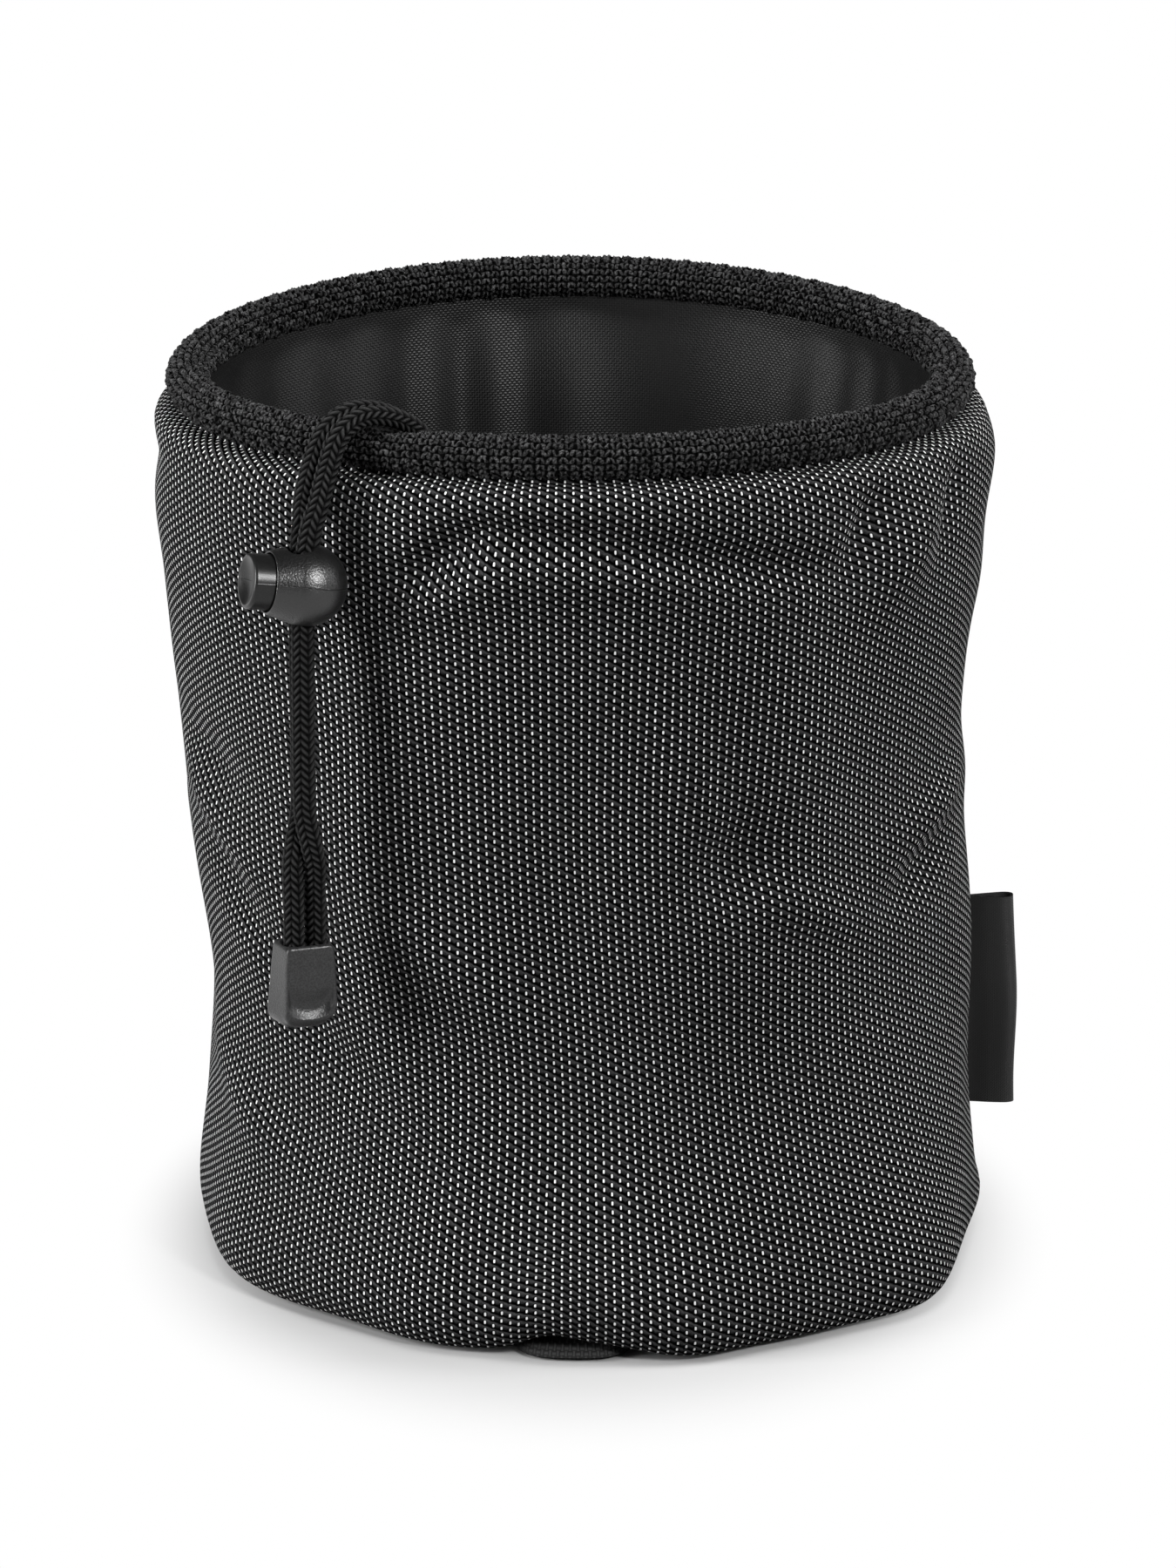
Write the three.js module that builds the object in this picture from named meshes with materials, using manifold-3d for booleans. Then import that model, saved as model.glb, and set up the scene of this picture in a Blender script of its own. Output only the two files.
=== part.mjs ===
// A round peg bag: a cloth tub on a sewn base, a mesh-bound hoop at its mouth, a gathered collar
// tucked inside, and a drawcord that comes out over the rim with a sprung cord lock and a cord end.
// Millimetres. +Z is up, -Y is the front, +X is the side with the label, and z = 0 is the ground.
import * as THREE from "three";
import { mergeVertices } from "three/addons/utils/BufferGeometryUtils.js";
import Module from "manifold-3d";

const wasm = await Module();
wasm.setup();

// Driving sizes of the bag
const BAG_HEIGHT = 200;
const BODY_RADIUS = 85;
const SHOULDER_SWELL = 5.8;
const CLOTH = 1.4;
const GAP = 0.3;
const LEAN = 3;
const RIM_DROOP = 2.5;
const BULGE = 7;
const BULGE_AZIMUTH = 22;
const ROUND_STEPS = 44;

// Rim: a stiff hoop in a mesh binding
const RIM_TUBE_RADIUS = 4.8;
const RIM_BINDING = 1.2;
const RIM_INSET = 2.5;

// Base: both cloths turn up into a bound seam
const BASE_INSET = 10.4;
const SEAM_HEIGHT = 10;
const TAPE = 0.8;

// Collar and its hem
const COLLAR_CLOTH = 0.8;
const COLLAR_LENGTH = 76;
const HEM_INSET = 6.4;
const COLLAR_FOLDS = 8;
const FOLD_DEPTH = 2.4;
const FOLD_STEPS = 56;

// Drawcord
const CORD_RADIUS = 2.3;
const CORD_SIDES = 10;
const CORD_AZIMUTH = -21.7;
const HANG_AZIMUTH = -33;
const SIDE_AZIMUTH = 20;
const HEM_GAP_ANGLE = 28;

// Cord lock
const LOCK_RADIUS = 8.7;
const LOCK_DROP = 31.1;
const LOCK_STANDOFF = 1.8;
const LOCK_FACE = 8.4;
const LOCK_FACE_RADIUS = 6.8;
const LOCK_PITCH = 9;
const LOCK_ROLL = 8;
const BUTTON_RADIUS = 5.8;
const BUTTON_PROUD = 4.5;
const BUTTON_TRAVEL = 2;
const SPRING_WIRE = 0.25;
const SPRING_TURNS = 2.75;

// Cord end
const END_DROP = 108.3;
const END_HEIGHT = 18.2;
const END_TOP_WIDTH = 11.9;
const END_BOTTOM_WIDTH = 13.9;
const END_DEPTH = 8.2;
const END_AZIMUTH = 17;

// Label and side seam
const LABEL_LOW = 26.4;
const LABEL_HEIGHT = 47.9;
const LABEL_REACH = 10.5;
const LABEL_CLOTH = 0.6;
const LABEL_TAIL = 5.5;
const SEAM_TAPE_WIDTH = 14;
const TAPE_ABOVE_SEAM = 5;
const TAPE_BELOW_RIM = 11;

// Sizes that follow from those
const RIM_RING = BODY_RADIUS - RIM_INSET;
const RIM_Z = BAG_HEIGHT - RIM_TUBE_RADIUS;
const SHOULDER_RADIUS = BODY_RADIUS + SHOULDER_SWELL;
const SLOT_WIDTH = CLOTH + COLLAR_CLOTH + 3 * GAP;
const HOOP_RADIUS = RIM_TUBE_RADIUS - RIM_BINDING - GAP;
const EDGE_TOP = RIM_Z - HOOP_RADIUS - 0.5;
const WALL_EDGE = RIM_RING + SLOT_WIDTH / 2 - GAP;
const COLLAR_EDGE = WALL_EDGE - CLOTH - GAP;
const BASE_EDGE = BODY_RADIUS - BASE_INSET;
const CORD_PITCH = 2 * CORD_RADIUS + GAP;
const ARCH = RIM_TUBE_RADIUS + CORD_RADIUS + GAP;
const HEM_Z = RIM_Z - COLLAR_LENGTH;
const HEM_RING = COLLAR_EDGE - HEM_INSET;
const HANG_RADIUS = SHOULDER_RADIUS + LOCK_RADIUS + LOCK_STANDOFF;
const LOCK_Z = BAG_HEIGHT - LOCK_DROP;
const END_TOP = BAG_HEIGHT - END_DROP;
const LOCK_UP = END_DROP - LOCK_DROP;

const { degToRad, smoothstep } = THREE.MathUtils;

/** A point from its azimuth (0 at the front, +90 at the label), distance from the axis and height. */
function around(azimuth, radius, z) {
  const angle = degToRad(azimuth);
  return new THREE.Vector3(radius * Math.sin(angle), -radius * Math.cos(angle), z);
}

/** Moves a point the way the soft bag settles: it bulges low in front, leans left and droops at both sides. */
function settle(point) {
  const azimuth = Math.atan2(point.x, -point.y);
  const radius = Math.hypot(point.x, point.y);
  const sine = Math.sin(azimuth);
  const facing = smoothstep(Math.cos(azimuth - degToRad(BULGE_AZIMUTH)), 0.4, 0.95);
  const low = 1 - smoothstep(point.z, BAG_HEIGHT * 0.04, BAG_HEIGHT * 0.36);
  const push = BULGE * facing * low * smoothstep(radius, BASE_EDGE + 2, BODY_RADIUS - 1);
  point.x += push * sine;
  point.y -= push * Math.cos(azimuth);
  point.x -= LEAN * smoothstep(point.z, BAG_HEIGHT * 0.22, BAG_HEIGHT * 0.6);
  point.z -= RIM_DROOP * sine * sine * smoothstep(point.z, BAG_HEIGHT * 0.55, RIM_Z);
  return point;
}

/** Applies a change to each vertex of a geometry. */
function reshape(geometry, change) {
  const places = geometry.getAttribute("position");
  const point = new THREE.Vector3();
  for (let i = 0; i < places.count; i += 1) {
    change(point.fromBufferAttribute(places, i));
    places.setXYZ(i, point.x, point.y, point.z);
  }
  return geometry;
}

/** Leaves only merged positions, with the faces turned outwards. */
function weld(geometry) {
  geometry.deleteAttribute("normal");
  geometry.deleteAttribute("uv");
  const merged = mergeVertices(geometry, 1e-4);
  const places = merged.getAttribute("position");
  const index = merged.index.array;
  const [a, b, c] = [0, 1, 2].map(() => new THREE.Vector3());
  let volume = 0;
  for (let i = 0; i < index.length; i += 3) {
    a.fromBufferAttribute(places, index[i]);
    b.fromBufferAttribute(places, index[i + 1]);
    c.fromBufferAttribute(places, index[i + 2]);
    volume += a.dot(b.cross(c));
  }
  if (volume < 0) {
    for (let i = 0; i < index.length; i += 3) {
      [index[i + 1], index[i + 2]] = [index[i + 2], index[i + 1]];
    }
  }
  return merged;
}

/** A geometry as a solid for cutting. */
function solid(geometry) {
  const merged = weld(geometry);
  const vertProperties = merged.getAttribute("position").array;
  const triVerts = new Uint32Array(merged.index.array);
  return new wasm.Manifold(new wasm.Mesh({ numProp: 3, vertProperties, triVerts }));
}

/** A geometry with others cut out of it. */
function cut(geometry, ...tools) {
  let made = solid(geometry);
  for (const tool of tools) made = made.subtract(solid(tool));
  const mesh = made.getMesh();
  const result = new THREE.BufferGeometry();
  result.setAttribute("position", new THREE.BufferAttribute(new Float32Array(mesh.vertProperties), 3));
  result.setIndex(new THREE.BufferAttribute(new Uint32Array(mesh.triVerts), 1));
  return result;
}

const points = (list) => list.map(([x, y]) => new THREE.Vector2(x, y));

/** A line beside another one, at a distance to its left. */
function beside(line, distance) {
  return line.map((point, i) => {
    const before = line[Math.max(i - 1, 0)];
    const after = line[Math.min(i + 1, line.length - 1)];
    const along = after.clone().sub(before).normalize();
    return new THREE.Vector2(point.x - along.y * distance, point.y + along.x * distance);
  });
}

/** The closed outline of a cloth: one face, then the other at its thickness to the left. */
function clothOutline(face, thickness) {
  return [...face, ...beside(face, thickness).reverse()];
}

/** An arc of a circle as points, by angles in degrees from +X. */
function arc(x, y, radius, from, to, steps) {
  return Array.from({ length: steps + 1 }, (_, i) => {
    const angle = degToRad(from + ((to - from) * i) / steps);
    return new THREE.Vector2(x + radius * Math.cos(angle), y + radius * Math.sin(angle));
  });
}

/** A ring about the bag's axis from a closed outline of radius and height. */
function ringOf(outline, steps = ROUND_STEPS) {
  const geometry = new THREE.LatheGeometry([...outline, outline[0]], steps);
  return weld(geometry.rotateX(Math.PI / 2));
}

/** A turned piece about local X, from an outline of [radius, place on the axis] that ends on the axis. */
function turnedOnX(outline, steps) {
  return weld(new THREE.LatheGeometry(outline, steps).rotateZ(-Math.PI / 2));
}

/** A round bar along local X between two places on it. */
function barOnX(radius, from, to, steps) {
  return new THREE.CylinderGeometry(radius, radius, to - from, steps)
    .rotateZ(-Math.PI / 2)
    .translate((from + to) / 2, 0, 0);
}

/** A slot-shaped prism through local Z: a rectangle with rounded corners. */
function slotPrism(xLow, xHigh, yHalf, corner, zLow, zHigh) {
  const shape = new THREE.Shape([
    ...arc(xHigh - corner, yHalf - corner, corner, 0, 90, 4),
    ...arc(xLow + corner, yHalf - corner, corner, 90, 180, 4),
    ...arc(xLow + corner, corner - yHalf, corner, 180, 270, 4),
    ...arc(xHigh - corner, corner - yHalf, corner, 270, 360, 4),
  ]);
  const options = { depth: zHigh - zLow, steps: 8, bevelEnabled: false };
  return new THREE.ExtrudeGeometry(shape, options).translate(0, 0, zLow);
}

/** A slot prism that flares towards both ends, so that a straight cord passes it at a slant. */
function flaredSlot(xLow, xHigh, yHalf, corner, zHalf) {
  const middle = (xLow + xHigh) / 2;
  return reshape(slotPrism(xLow, xHigh, yHalf, corner, -zHalf, zHalf), (point) => {
    const spread = SLOT_FLARE * Math.max(Math.abs(point.z) - SLOT_THROAT, 0);
    point.x += Math.sign(point.x - middle) * spread;
    point.y += Math.sign(point.y) * spread;
  });
}

/** A spline that is stepped by its own points, so that close points give close steps. */
class Route extends THREE.CatmullRomCurve3 {
  getPointAt(u, target) {
    return this.getPoint(u, target);
  }

  getTangentAt(u, target) {
    return this.getTangent(u, target);
  }
}

/** Part of a route, from one share of it to another. */
class Stretch extends THREE.Curve {
  constructor(route, from, to) {
    super();
    this.route = route;
    this.from = from;
    this.to = to;
  }

  getPoint(t, target) {
    return this.route.getPoint(this.from + (this.to - this.from) * t, target);
  }

  getPointAt(u, target) {
    return this.getPoint(u, target);
  }

  getTangentAt(u, target) {
    return this.route.getTangent(this.from + (this.to - this.from) * u, target);
  }
}

/** A coil of wire along local X. */
class Coil extends THREE.Curve {
  constructor(radius, from, to, turns) {
    super();
    Object.assign(this, { radius, from, to, turns });
  }

  getPoint(t, target = new THREE.Vector3()) {
    const angle = t * this.turns * 2 * Math.PI;
    const x = this.from + (this.to - this.from) * t;
    return target.set(x, this.radius * Math.cos(angle), this.radius * Math.sin(angle));
  }

  /** The least space between the wire of one turn and that of another. */
  leastGap(wire) {
    const samples = this.getPoints(Math.round(this.turns * 48));
    let least = Infinity;
    samples.forEach((point, i) => {
      samples.slice(i + 24).forEach((other) => {
        least = Math.min(least, point.distanceTo(other));
      });
    });
    return least - 2 * wire;
  }
}

/** A closed round tube along a curve. */
function tube(curve, radius, steps, sides) {
  const section = new THREE.Shape(arc(0, 0, radius, 0, 360 - 360 / sides, sides - 1));
  return weld(new THREE.ExtrudeGeometry(section, { steps, extrudePath: curve, bevelEnabled: false }));
}

const cloth = (color) => new THREE.MeshStandardMaterial({ color, roughness: 0.95, metalness: 0 });
const plastic = (color, roughness) => new THREE.MeshStandardMaterial({ color, roughness, metalness: 0 });
const OUTER_CLOTH = cloth(0x35363a);
const BLACK_CLOTH = cloth(0x151517);
const RIM_MESH = cloth(0x1b1b1d);
const COLLAR_WEAVE = cloth(0x1d1d20);
const BRAID = cloth(0x101012);
const LABEL_WEAVE = cloth(0x121214);
const HOOP_PLASTIC = plastic(0x2a2a2c, 0.6);
const LOCK_PLASTIC = plastic(0x2c2d30, 0.5);
const BUTTON_PLASTIC = plastic(0x131315, 0.35);
const END_PLASTIC = plastic(0x3f4145, 0.6);
const STEEL = new THREE.MeshStandardMaterial({ color: 0xb9bcc0, roughness: 0.3, metalness: 1 });

/** The outer face of the side cloth, from the base seam to its edge in the rim. */
function wallFace() {
  const seam = BASE_EDGE + GAP;
  const height = (share) => RIM_Z * share;
  return points([
    [seam, SEAM_HEIGHT],
    [seam, 2.2],
    [seam + 2, 0],
    [BODY_RADIUS - 5, 0],
    [BODY_RADIUS - 1.6, 2],
    [BODY_RADIUS + 0.4, 6.2],
    [BODY_RADIUS + 0.8, 11],
    [BODY_RADIUS - 0.2, height(0.16)],
    [BODY_RADIUS - 0.8, height(0.31)],
    [BODY_RADIUS - 0.2, height(0.46)],
    [BODY_RADIUS + 0.4, height(0.61)],
    [BODY_RADIUS + SHOULDER_SWELL * 0.55, height(0.77)],
    [BODY_RADIUS + SHOULDER_SWELL * 0.9, height(0.86)],
    [SHOULDER_RADIUS, RIM_Z - 15],
    [SHOULDER_RADIUS - 0.4, RIM_Z - 9.8],
    [SHOULDER_RADIUS - 1.7, RIM_Z - 6.5],
    [WALL_EDGE + 2, EDGE_TOP - 1.3],
    [WALL_EDGE + 0.1, EDGE_TOP - 1.2],
    [WALL_EDGE, EDGE_TOP],
  ]);
}

/** The outer radius of the side cloth at a height on its standing stretch. */
function wallRadius(z) {
  const standing = wallFace().slice(6, 16);
  const next = standing.findIndex((point) => point.y >= z);
  const high = standing[Math.max(next, 1)];
  const low = standing[Math.max(next, 1) - 1];
  return low.x + ((high.x - low.x) * (z - low.y)) / (high.y - low.y);
}

/** Shapes a piece made about x = 0 so that it follows the side cloth at the label's side. */
function hugWall(geometry) {
  return reshape(geometry, (point) => point.setX(point.x + wallRadius(point.z)));
}

function sidePanel() {
  const slit = new THREE.BoxGeometry(2 * LABEL_REACH, 2 * (LABEL_CLOTH * 1.25 + GAP), LABEL_HEIGHT + 2 * GAP);
  slit.translate(BODY_RADIUS, 0, LABEL_LOW + LABEL_HEIGHT / 2);
  return cut(ringOf(clothOutline(wallFace(), CLOTH)), slit);
}

function basePanel() {
  const underside = points([
    [0, 0],
    [BASE_EDGE - 2.4, 0],
    [BASE_EDGE - 0.7, 0.7],
    [BASE_EDGE, 2.4],
    [BASE_EDGE, SEAM_HEIGHT],
  ]);
  const geometry = new THREE.LatheGeometry(clothOutline(underside, CLOTH), ROUND_STEPS);
  return weld(geometry.rotateX(Math.PI / 2));
}

function baseSeamBinding() {
  const low = SEAM_HEIGHT * 0.5;
  const inner = BASE_EDGE - CLOTH - GAP;
  const outer = BASE_EDGE + 2 * GAP + CLOTH;
  const top = SEAM_HEIGHT + GAP;
  const inside = points([
    [inner, low],
    [inner, top],
    [outer, top],
    [outer, low],
  ]);
  const outside = points([
    [outer + TAPE, low],
    [outer + TAPE, top + TAPE],
    [inner - TAPE, top + TAPE],
    [inner - TAPE, low],
  ]);
  return ringOf([...inside, ...outside]);
}

function sideSeamTape() {
  const low = SEAM_HEIGHT + TAPE_ABOVE_SEAM;
  const high = RIM_Z - TAPE_BELOW_RIM;
  const offset = -(CLOTH + LABEL_CLOTH + 3 * GAP + TAPE / 2 + 0.3);
  const tape = new THREE.BoxGeometry(TAPE, SEAM_TAPE_WIDTH, high - low, 1, 1, 14);
  return hugWall(weld(tape.translate(offset, 0, (low + high) / 2)));
}

/** The label: one strip, folded in a loop outside, with both tails sewn flat behind the side cloth. */
function label() {
  const tail = -(CLOTH + GAP + LABEL_CLOTH);
  const half = points([
    [tail, -LABEL_TAIL],
    [tail, -LABEL_CLOTH * 1.5],
    [tail * 0.85, -LABEL_CLOTH * 0.75],
    [LABEL_REACH * 0.1, -LABEL_CLOTH * 0.75],
    [LABEL_REACH * 0.5, -LABEL_CLOTH * 1.8],
    [LABEL_REACH * 0.86, -LABEL_CLOTH * 2],
    [LABEL_REACH * 0.96, -LABEL_CLOTH],
  ]);
  const otherHalf = half.map((point) => new THREE.Vector2(point.x, -point.y)).reverse();
  const outerFace = beside([...half, ...otherHalf], -LABEL_CLOTH / 2);
  const shape = new THREE.Shape(clothOutline(outerFace, LABEL_CLOTH));
  const options = { depth: LABEL_HEIGHT, steps: 5, bevelEnabled: false };
  return hugWall(weld(new THREE.ExtrudeGeometry(shape, options).translate(0, 0, LABEL_LOW)));
}

function rimHoop() {
  return ringOf(arc(RIM_RING, RIM_Z, HOOP_RADIUS, 0, 315, 7));
}

/** The mesh binding: a tube that is open below, where the side cloth and the collar go in. */
function rimCover() {
  const slotAngle = (radius) => THREE.MathUtils.radToDeg(Math.asin(SLOT_WIDTH / 2 / radius));
  const inside = RIM_TUBE_RADIUS - RIM_BINDING;
  const outerSlot = slotAngle(RIM_TUBE_RADIUS);
  const innerSlot = slotAngle(inside);
  return ringOf([
    ...arc(RIM_RING, RIM_Z, RIM_TUBE_RADIUS, outerSlot - 90, 270 - outerSlot, 10),
    ...arc(RIM_RING, RIM_Z, inside, 270 - innerSlot, innerSlot - 90, 9),
  ]);
}

/** The gathered collar: it hangs inside from the rim and turns up in a hem round the drawcord. */
function collar() {
  const outside = COLLAR_EDGE - 2.6;
  const face = points([
    [HEM_RING + 1.6, HEM_Z + 7.2],
    [HEM_RING - CORD_RADIUS - GAP - COLLAR_CLOTH, HEM_Z + 2],
    [HEM_RING - CORD_RADIUS - GAP - COLLAR_CLOTH, HEM_Z - 2],
    [HEM_RING, HEM_Z - CORD_RADIUS - GAP - COLLAR_CLOTH - 0.6],
    [HEM_RING + CORD_RADIUS + GAP + COLLAR_CLOTH + 0.3, HEM_Z - 1.6],
    [outside, HEM_Z + 6],
    [outside + 0.4, HEM_Z + 27],
    [outside + 1, HEM_Z + 48],
    [COLLAR_EDGE, EDGE_TOP - 2.4],
    [COLLAR_EDGE, EDGE_TOP],
  ]);
  const low = HEM_Z + 9;
  const high = EDGE_TOP - 4;
  const folded = reshape(ringOf(clothOutline(face, COLLAR_CLOTH), FOLD_STEPS), (point) => {
    const share = THREE.MathUtils.clamp((point.z - low) / (high - low), 0, 1);
    const azimuth = Math.atan2(point.x, -point.y);
    const depth = FOLD_DEPTH * Math.sin(Math.PI * share) * (0.5 + 0.5 * Math.cos(COLLAR_FOLDS * azimuth));
    const radius = Math.hypot(point.x, point.y);
    point.x *= 1 - depth / radius;
    point.y *= 1 - depth / radius;
  });
  const from = CORD_AZIMUTH - HEM_GAP_ANGLE / 2 - 90;
  const sector = new THREE.Shape([
    ...arc(0, 0, HEM_RING + 2.5, from, from + HEM_GAP_ANGLE, 8),
    ...arc(0, 0, HEM_RING - 12, from + HEM_GAP_ANGLE, from, 8),
  ]);
  const opening = new THREE.ExtrudeGeometry(sector, { depth: 20, bevelEnabled: false });
  return cut(folded, opening.translate(0, 0, HEM_Z - 8));
}

// Each cord's bend out of the hem: degrees from the pair's middle, distance in from the hem's cord and height.
const OUT_OF_HEM = [
  [HEM_GAP_ANGLE / 2, 0, 0],
  [HEM_GAP_ANGLE / 2 - 2, 0.1, 0.1],
  [8, 1.2, 1.9],
  [3.6, 2.7, 7],
  [2, 2.9, 14],
];

// The pair of cords as places on its middle line: azimuth, distance from the rim's middle line and height
// above the rim's middle, both in steps of ARCH, and the azimuth from the left cord to the right one.
const OVER_RIM = [
  [CORD_AZIMUTH, -1.3, -6.6, 68],
  [CORD_AZIMUTH, -1.28, -4.6, 68],
  [-21.9, -1.26, -2.6, 66],
  [-22.7, -1.24, -1.2, 56],
  [-24, -1.16, -0.25, 44],
  [-26, -0.99, 0.66, 34],
  [-28.4, -0.3, 1.07, 28],
  [-31, 0.42, 1.02, 28],
  [-32.6, 1.06, 0.55, 34],
  [-33.2, 1.52, -0.35, 42],
  [-33.2, 1.95, -1.3, 38],
];
const CUT_INDEX = 8;

// The hanging stretch: height above the cord end's top, distance in from its line, and the same azimuth.
const HANGING = [
  [LOCK_UP + 12, 2.5, SIDE_AZIMUTH + 12],
  [LOCK_UP + 7, 1.4, SIDE_AZIMUTH + 4],
  [LOCK_UP + 3, 0.6, SIDE_AZIMUTH],
  [LOCK_UP - 1, 0.1, SIDE_AZIMUTH],
  [LOCK_UP - 6, 0, SIDE_AZIMUTH],
  [LOCK_UP - 30, 0, SIDE_AZIMUTH],
  [22, 0, SIDE_AZIMUTH],
  [17, 0, SIDE_AZIMUTH + 22],
  [12, 0, SIDE_AZIMUTH + 44],
  [7, 0, SIDE_AZIMUTH + 66],
  [2, 0, END_AZIMUTH + 90],
  [-10, 0, END_AZIMUTH + 90],
];

/** A place at a height by the hanging line, which leans with the rim but doesn't droop. */
function hangingPlace(z, inward = 0) {
  const place = around(HANG_AZIMUTH, HANG_RADIUS - inward, z);
  place.x -= LEAN;
  return place;
}

/** One cord's route; side is -1 for the left cord and +1 for the right one. */
function cordRoute(side) {
  const offset = (azimuth) => around(azimuth, (side * CORD_PITCH) / 2, 0);
  const leaving = OUT_OF_HEM.map(([azimuth, inward, upward]) =>
    settle(around(CORD_AZIMUTH + side * azimuth, HEM_RING - inward, HEM_Z + upward)),
  );
  const over = OVER_RIM.map(([azimuth, outward, upward, across]) =>
    settle(around(azimuth, RIM_RING + outward * ARCH, RIM_Z + upward * ARCH)).add(offset(across)),
  );
  const hanging = HANGING.map(([height, inward, across]) =>
    hangingPlace(END_TOP + height, inward).add(offset(across)),
  );
  return new Route([...leaving, ...over, ...hanging], false, "catmullrom", 0.5);
}

const ROUTE_SPANS = OUT_OF_HEM.length + OVER_RIM.length + HANGING.length - 1;
const CUT_SPAN = OUT_OF_HEM.length + CUT_INDEX;
const CUT_SHARE = CUT_SPAN / ROUTE_SPANS;
const CUT_GAP = 0.03 / ROUTE_SPANS;

function cordOverRim(side) {
  const stretch = new Stretch(cordRoute(side), 0, CUT_SHARE - CUT_GAP);
  return tube(stretch, CORD_RADIUS, 2 * CUT_SPAN, CORD_SIDES);
}

function cordHanging(side) {
  const stretch = new Stretch(cordRoute(side), CUT_SHARE + CUT_GAP, 1);
  return tube(stretch, CORD_RADIUS, 2 * (ROUTE_SPANS - CUT_SPAN), CORD_SIDES);
}

/** The stretch of cord inside the hem, from one side of the hem's gap round to the other. */
function cordLoop() {
  const spans = 32;
  const start = CORD_AZIMUTH + HEM_GAP_ANGLE / 2 + 0.45;
  const sweep = 360 - HEM_GAP_ANGLE - 0.9;
  const places = Array.from({ length: spans + 1 }, (_, i) =>
    settle(around(start + (sweep * i) / spans, HEM_RING, HEM_Z)),
  );
  return tube(new Route(places), CORD_RADIUS, spans, CORD_SIDES);
}

// The cord lock in its own frame: +X is the way the button points, Z is along the cords.
const CORDS_FORWARD = 1;
const CORD_BACK = CORDS_FORWARD - CORD_RADIUS - 0.4;
const CORD_FRONT = CORDS_FORWARD + CORD_RADIUS + 0.2;
const CORDS_HALF = CORD_PITCH / 2 + CORD_RADIUS + GAP;
const BUTTON_BACK = CORD_BACK - 1.3;
const BORE_END = BUTTON_BACK - BUTTON_TRAVEL - GAP;
const SPRING_POCKET = BORE_END - 2.2;
const SPRING_RADIUS = 2.5;
const SLOT_FLARE = 0.22;
const SLOT_THROAT = 0.4;

function lockBody() {
  const nose = points([
    [LOCK_FACE_RADIUS, LOCK_FACE],
    [0, LOCK_FACE],
  ]);
  const ball = turnedOnX([...arc(0, 0, LOCK_RADIUS, -90, 15, 11), ...nose], 24);
  return cut(
    ball,
    barOnX(BUTTON_RADIUS + GAP, BORE_END, LOCK_FACE + 1, 24),
    barOnX(SPRING_RADIUS + 0.8, SPRING_POCKET, BORE_END + 1, 16),
    flaredSlot(CORD_BACK, CORD_FRONT, CORDS_HALF, 2.3, LOCK_RADIUS + 1),
  );
}

function lockButton() {
  const end = LOCK_FACE + BUTTON_PROUD;
  const plunger = turnedOnX(
    points([
      [0, BUTTON_BACK],
      [BUTTON_RADIUS - 0.3, BUTTON_BACK],
      [BUTTON_RADIUS, BUTTON_BACK + 0.3],
      [BUTTON_RADIUS, end - 0.7],
      [BUTTON_RADIUS - 0.7, end],
      [BUTTON_RADIUS - 1.5, end - 0.2],
      [BUTTON_RADIUS * 0.45, end - 1],
      [0, end - 1.2],
    ]),
    24,
  );
  const front = CORD_FRONT + BUTTON_TRAVEL;
  return cut(plunger, flaredSlot(CORD_BACK, front, CORDS_HALF, 2, BUTTON_RADIUS + 1));
}

function lockSpring() {
  const from = SPRING_POCKET + SPRING_WIRE + 0.15;
  const coil = new Coil(SPRING_RADIUS, from, BUTTON_BACK - SPRING_WIRE - 0.15, SPRING_TURNS);
  console.log(`cord lock spring: least gap to itself ${coil.leastGap(SPRING_WIRE).toFixed(2)} mm`);
  return tube(coil, SPRING_WIRE, Math.round(SPRING_TURNS * 8), 5);
}

// The cord end in its own frame: -Y is its front, z = 0 its top, and the cords come down on the Z axis.
const END_BACK = END_DEPTH / 2 + 0.1;
const END_EDGE = 0.9;
const END_COVER = 1.3;
const COVER_INSET = 1.5;

/** The cord end's front outline, drawn in by an inset: narrow above, with round lower corners. */
function endOutline(inset) {
  const top = END_TOP_WIDTH / 2 - inset;
  const bottom = END_BOTTOM_WIDTH / 2 - inset;
  const low = inset - END_HEIGHT;
  return new THREE.Shape([
    ...arc(top - 1.2, -inset - 1.2, 1.2, 5, 90, 3),
    ...arc(1.2 - top, -inset - 1.2, 1.2, 90, 175, 3),
    ...arc(3 - bottom, low + 3, 3, 175, 270, 4),
    ...arc(bottom - 3, low + 3, 3, 270, 365, 4),
  ]);
}

/** An outline in X and Z made into a slab between two places on Y. */
function slab(shape, yFront, yBack, bevel = 0) {
  const geometry = new THREE.ExtrudeGeometry(shape, {
    depth: yBack - yFront - 2 * bevel,
    bevelEnabled: bevel > 0,
    bevelThickness: bevel,
    bevelSize: bevel,
    bevelOffset: -bevel,
    bevelSegments: 2,
  });
  return geometry.rotateX(Math.PI / 2).translate(0, yBack - bevel, 0);
}

function endBody() {
  const front = END_BACK - END_DEPTH;
  const pocketHalf = CORDS_HALF + 0.2;
  const pocket = new THREE.BoxGeometry(2 * pocketHalf, END_BACK - CORD_RADIUS + 2 * CORD_RADIUS + GAP, 9);
  pocket.translate(0, (END_BACK - CORD_RADIUS - GAP) / 2, -7.5);
  const rebate = slab(endOutline(COVER_INSET - GAP), END_BACK - END_COVER - GAP, END_BACK + 1);
  const dimple = new THREE.SphereGeometry(1, 16, 10).scale(4, 0.8, 1.4);
  dimple.translate(0, front, -END_HEIGHT + 3.6);
  const mouth = slotPrism(-CORDS_HALF, CORDS_HALF, CORD_RADIUS + GAP, 2.2, -5, 1);
  return cut(slab(endOutline(0), front, END_BACK, END_EDGE), pocket, rebate, dimple, mouth);
}

function endCover() {
  return weld(slab(endOutline(COVER_INSET), END_BACK - END_COVER, END_BACK));
}

const bag = new THREE.Group();

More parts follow.
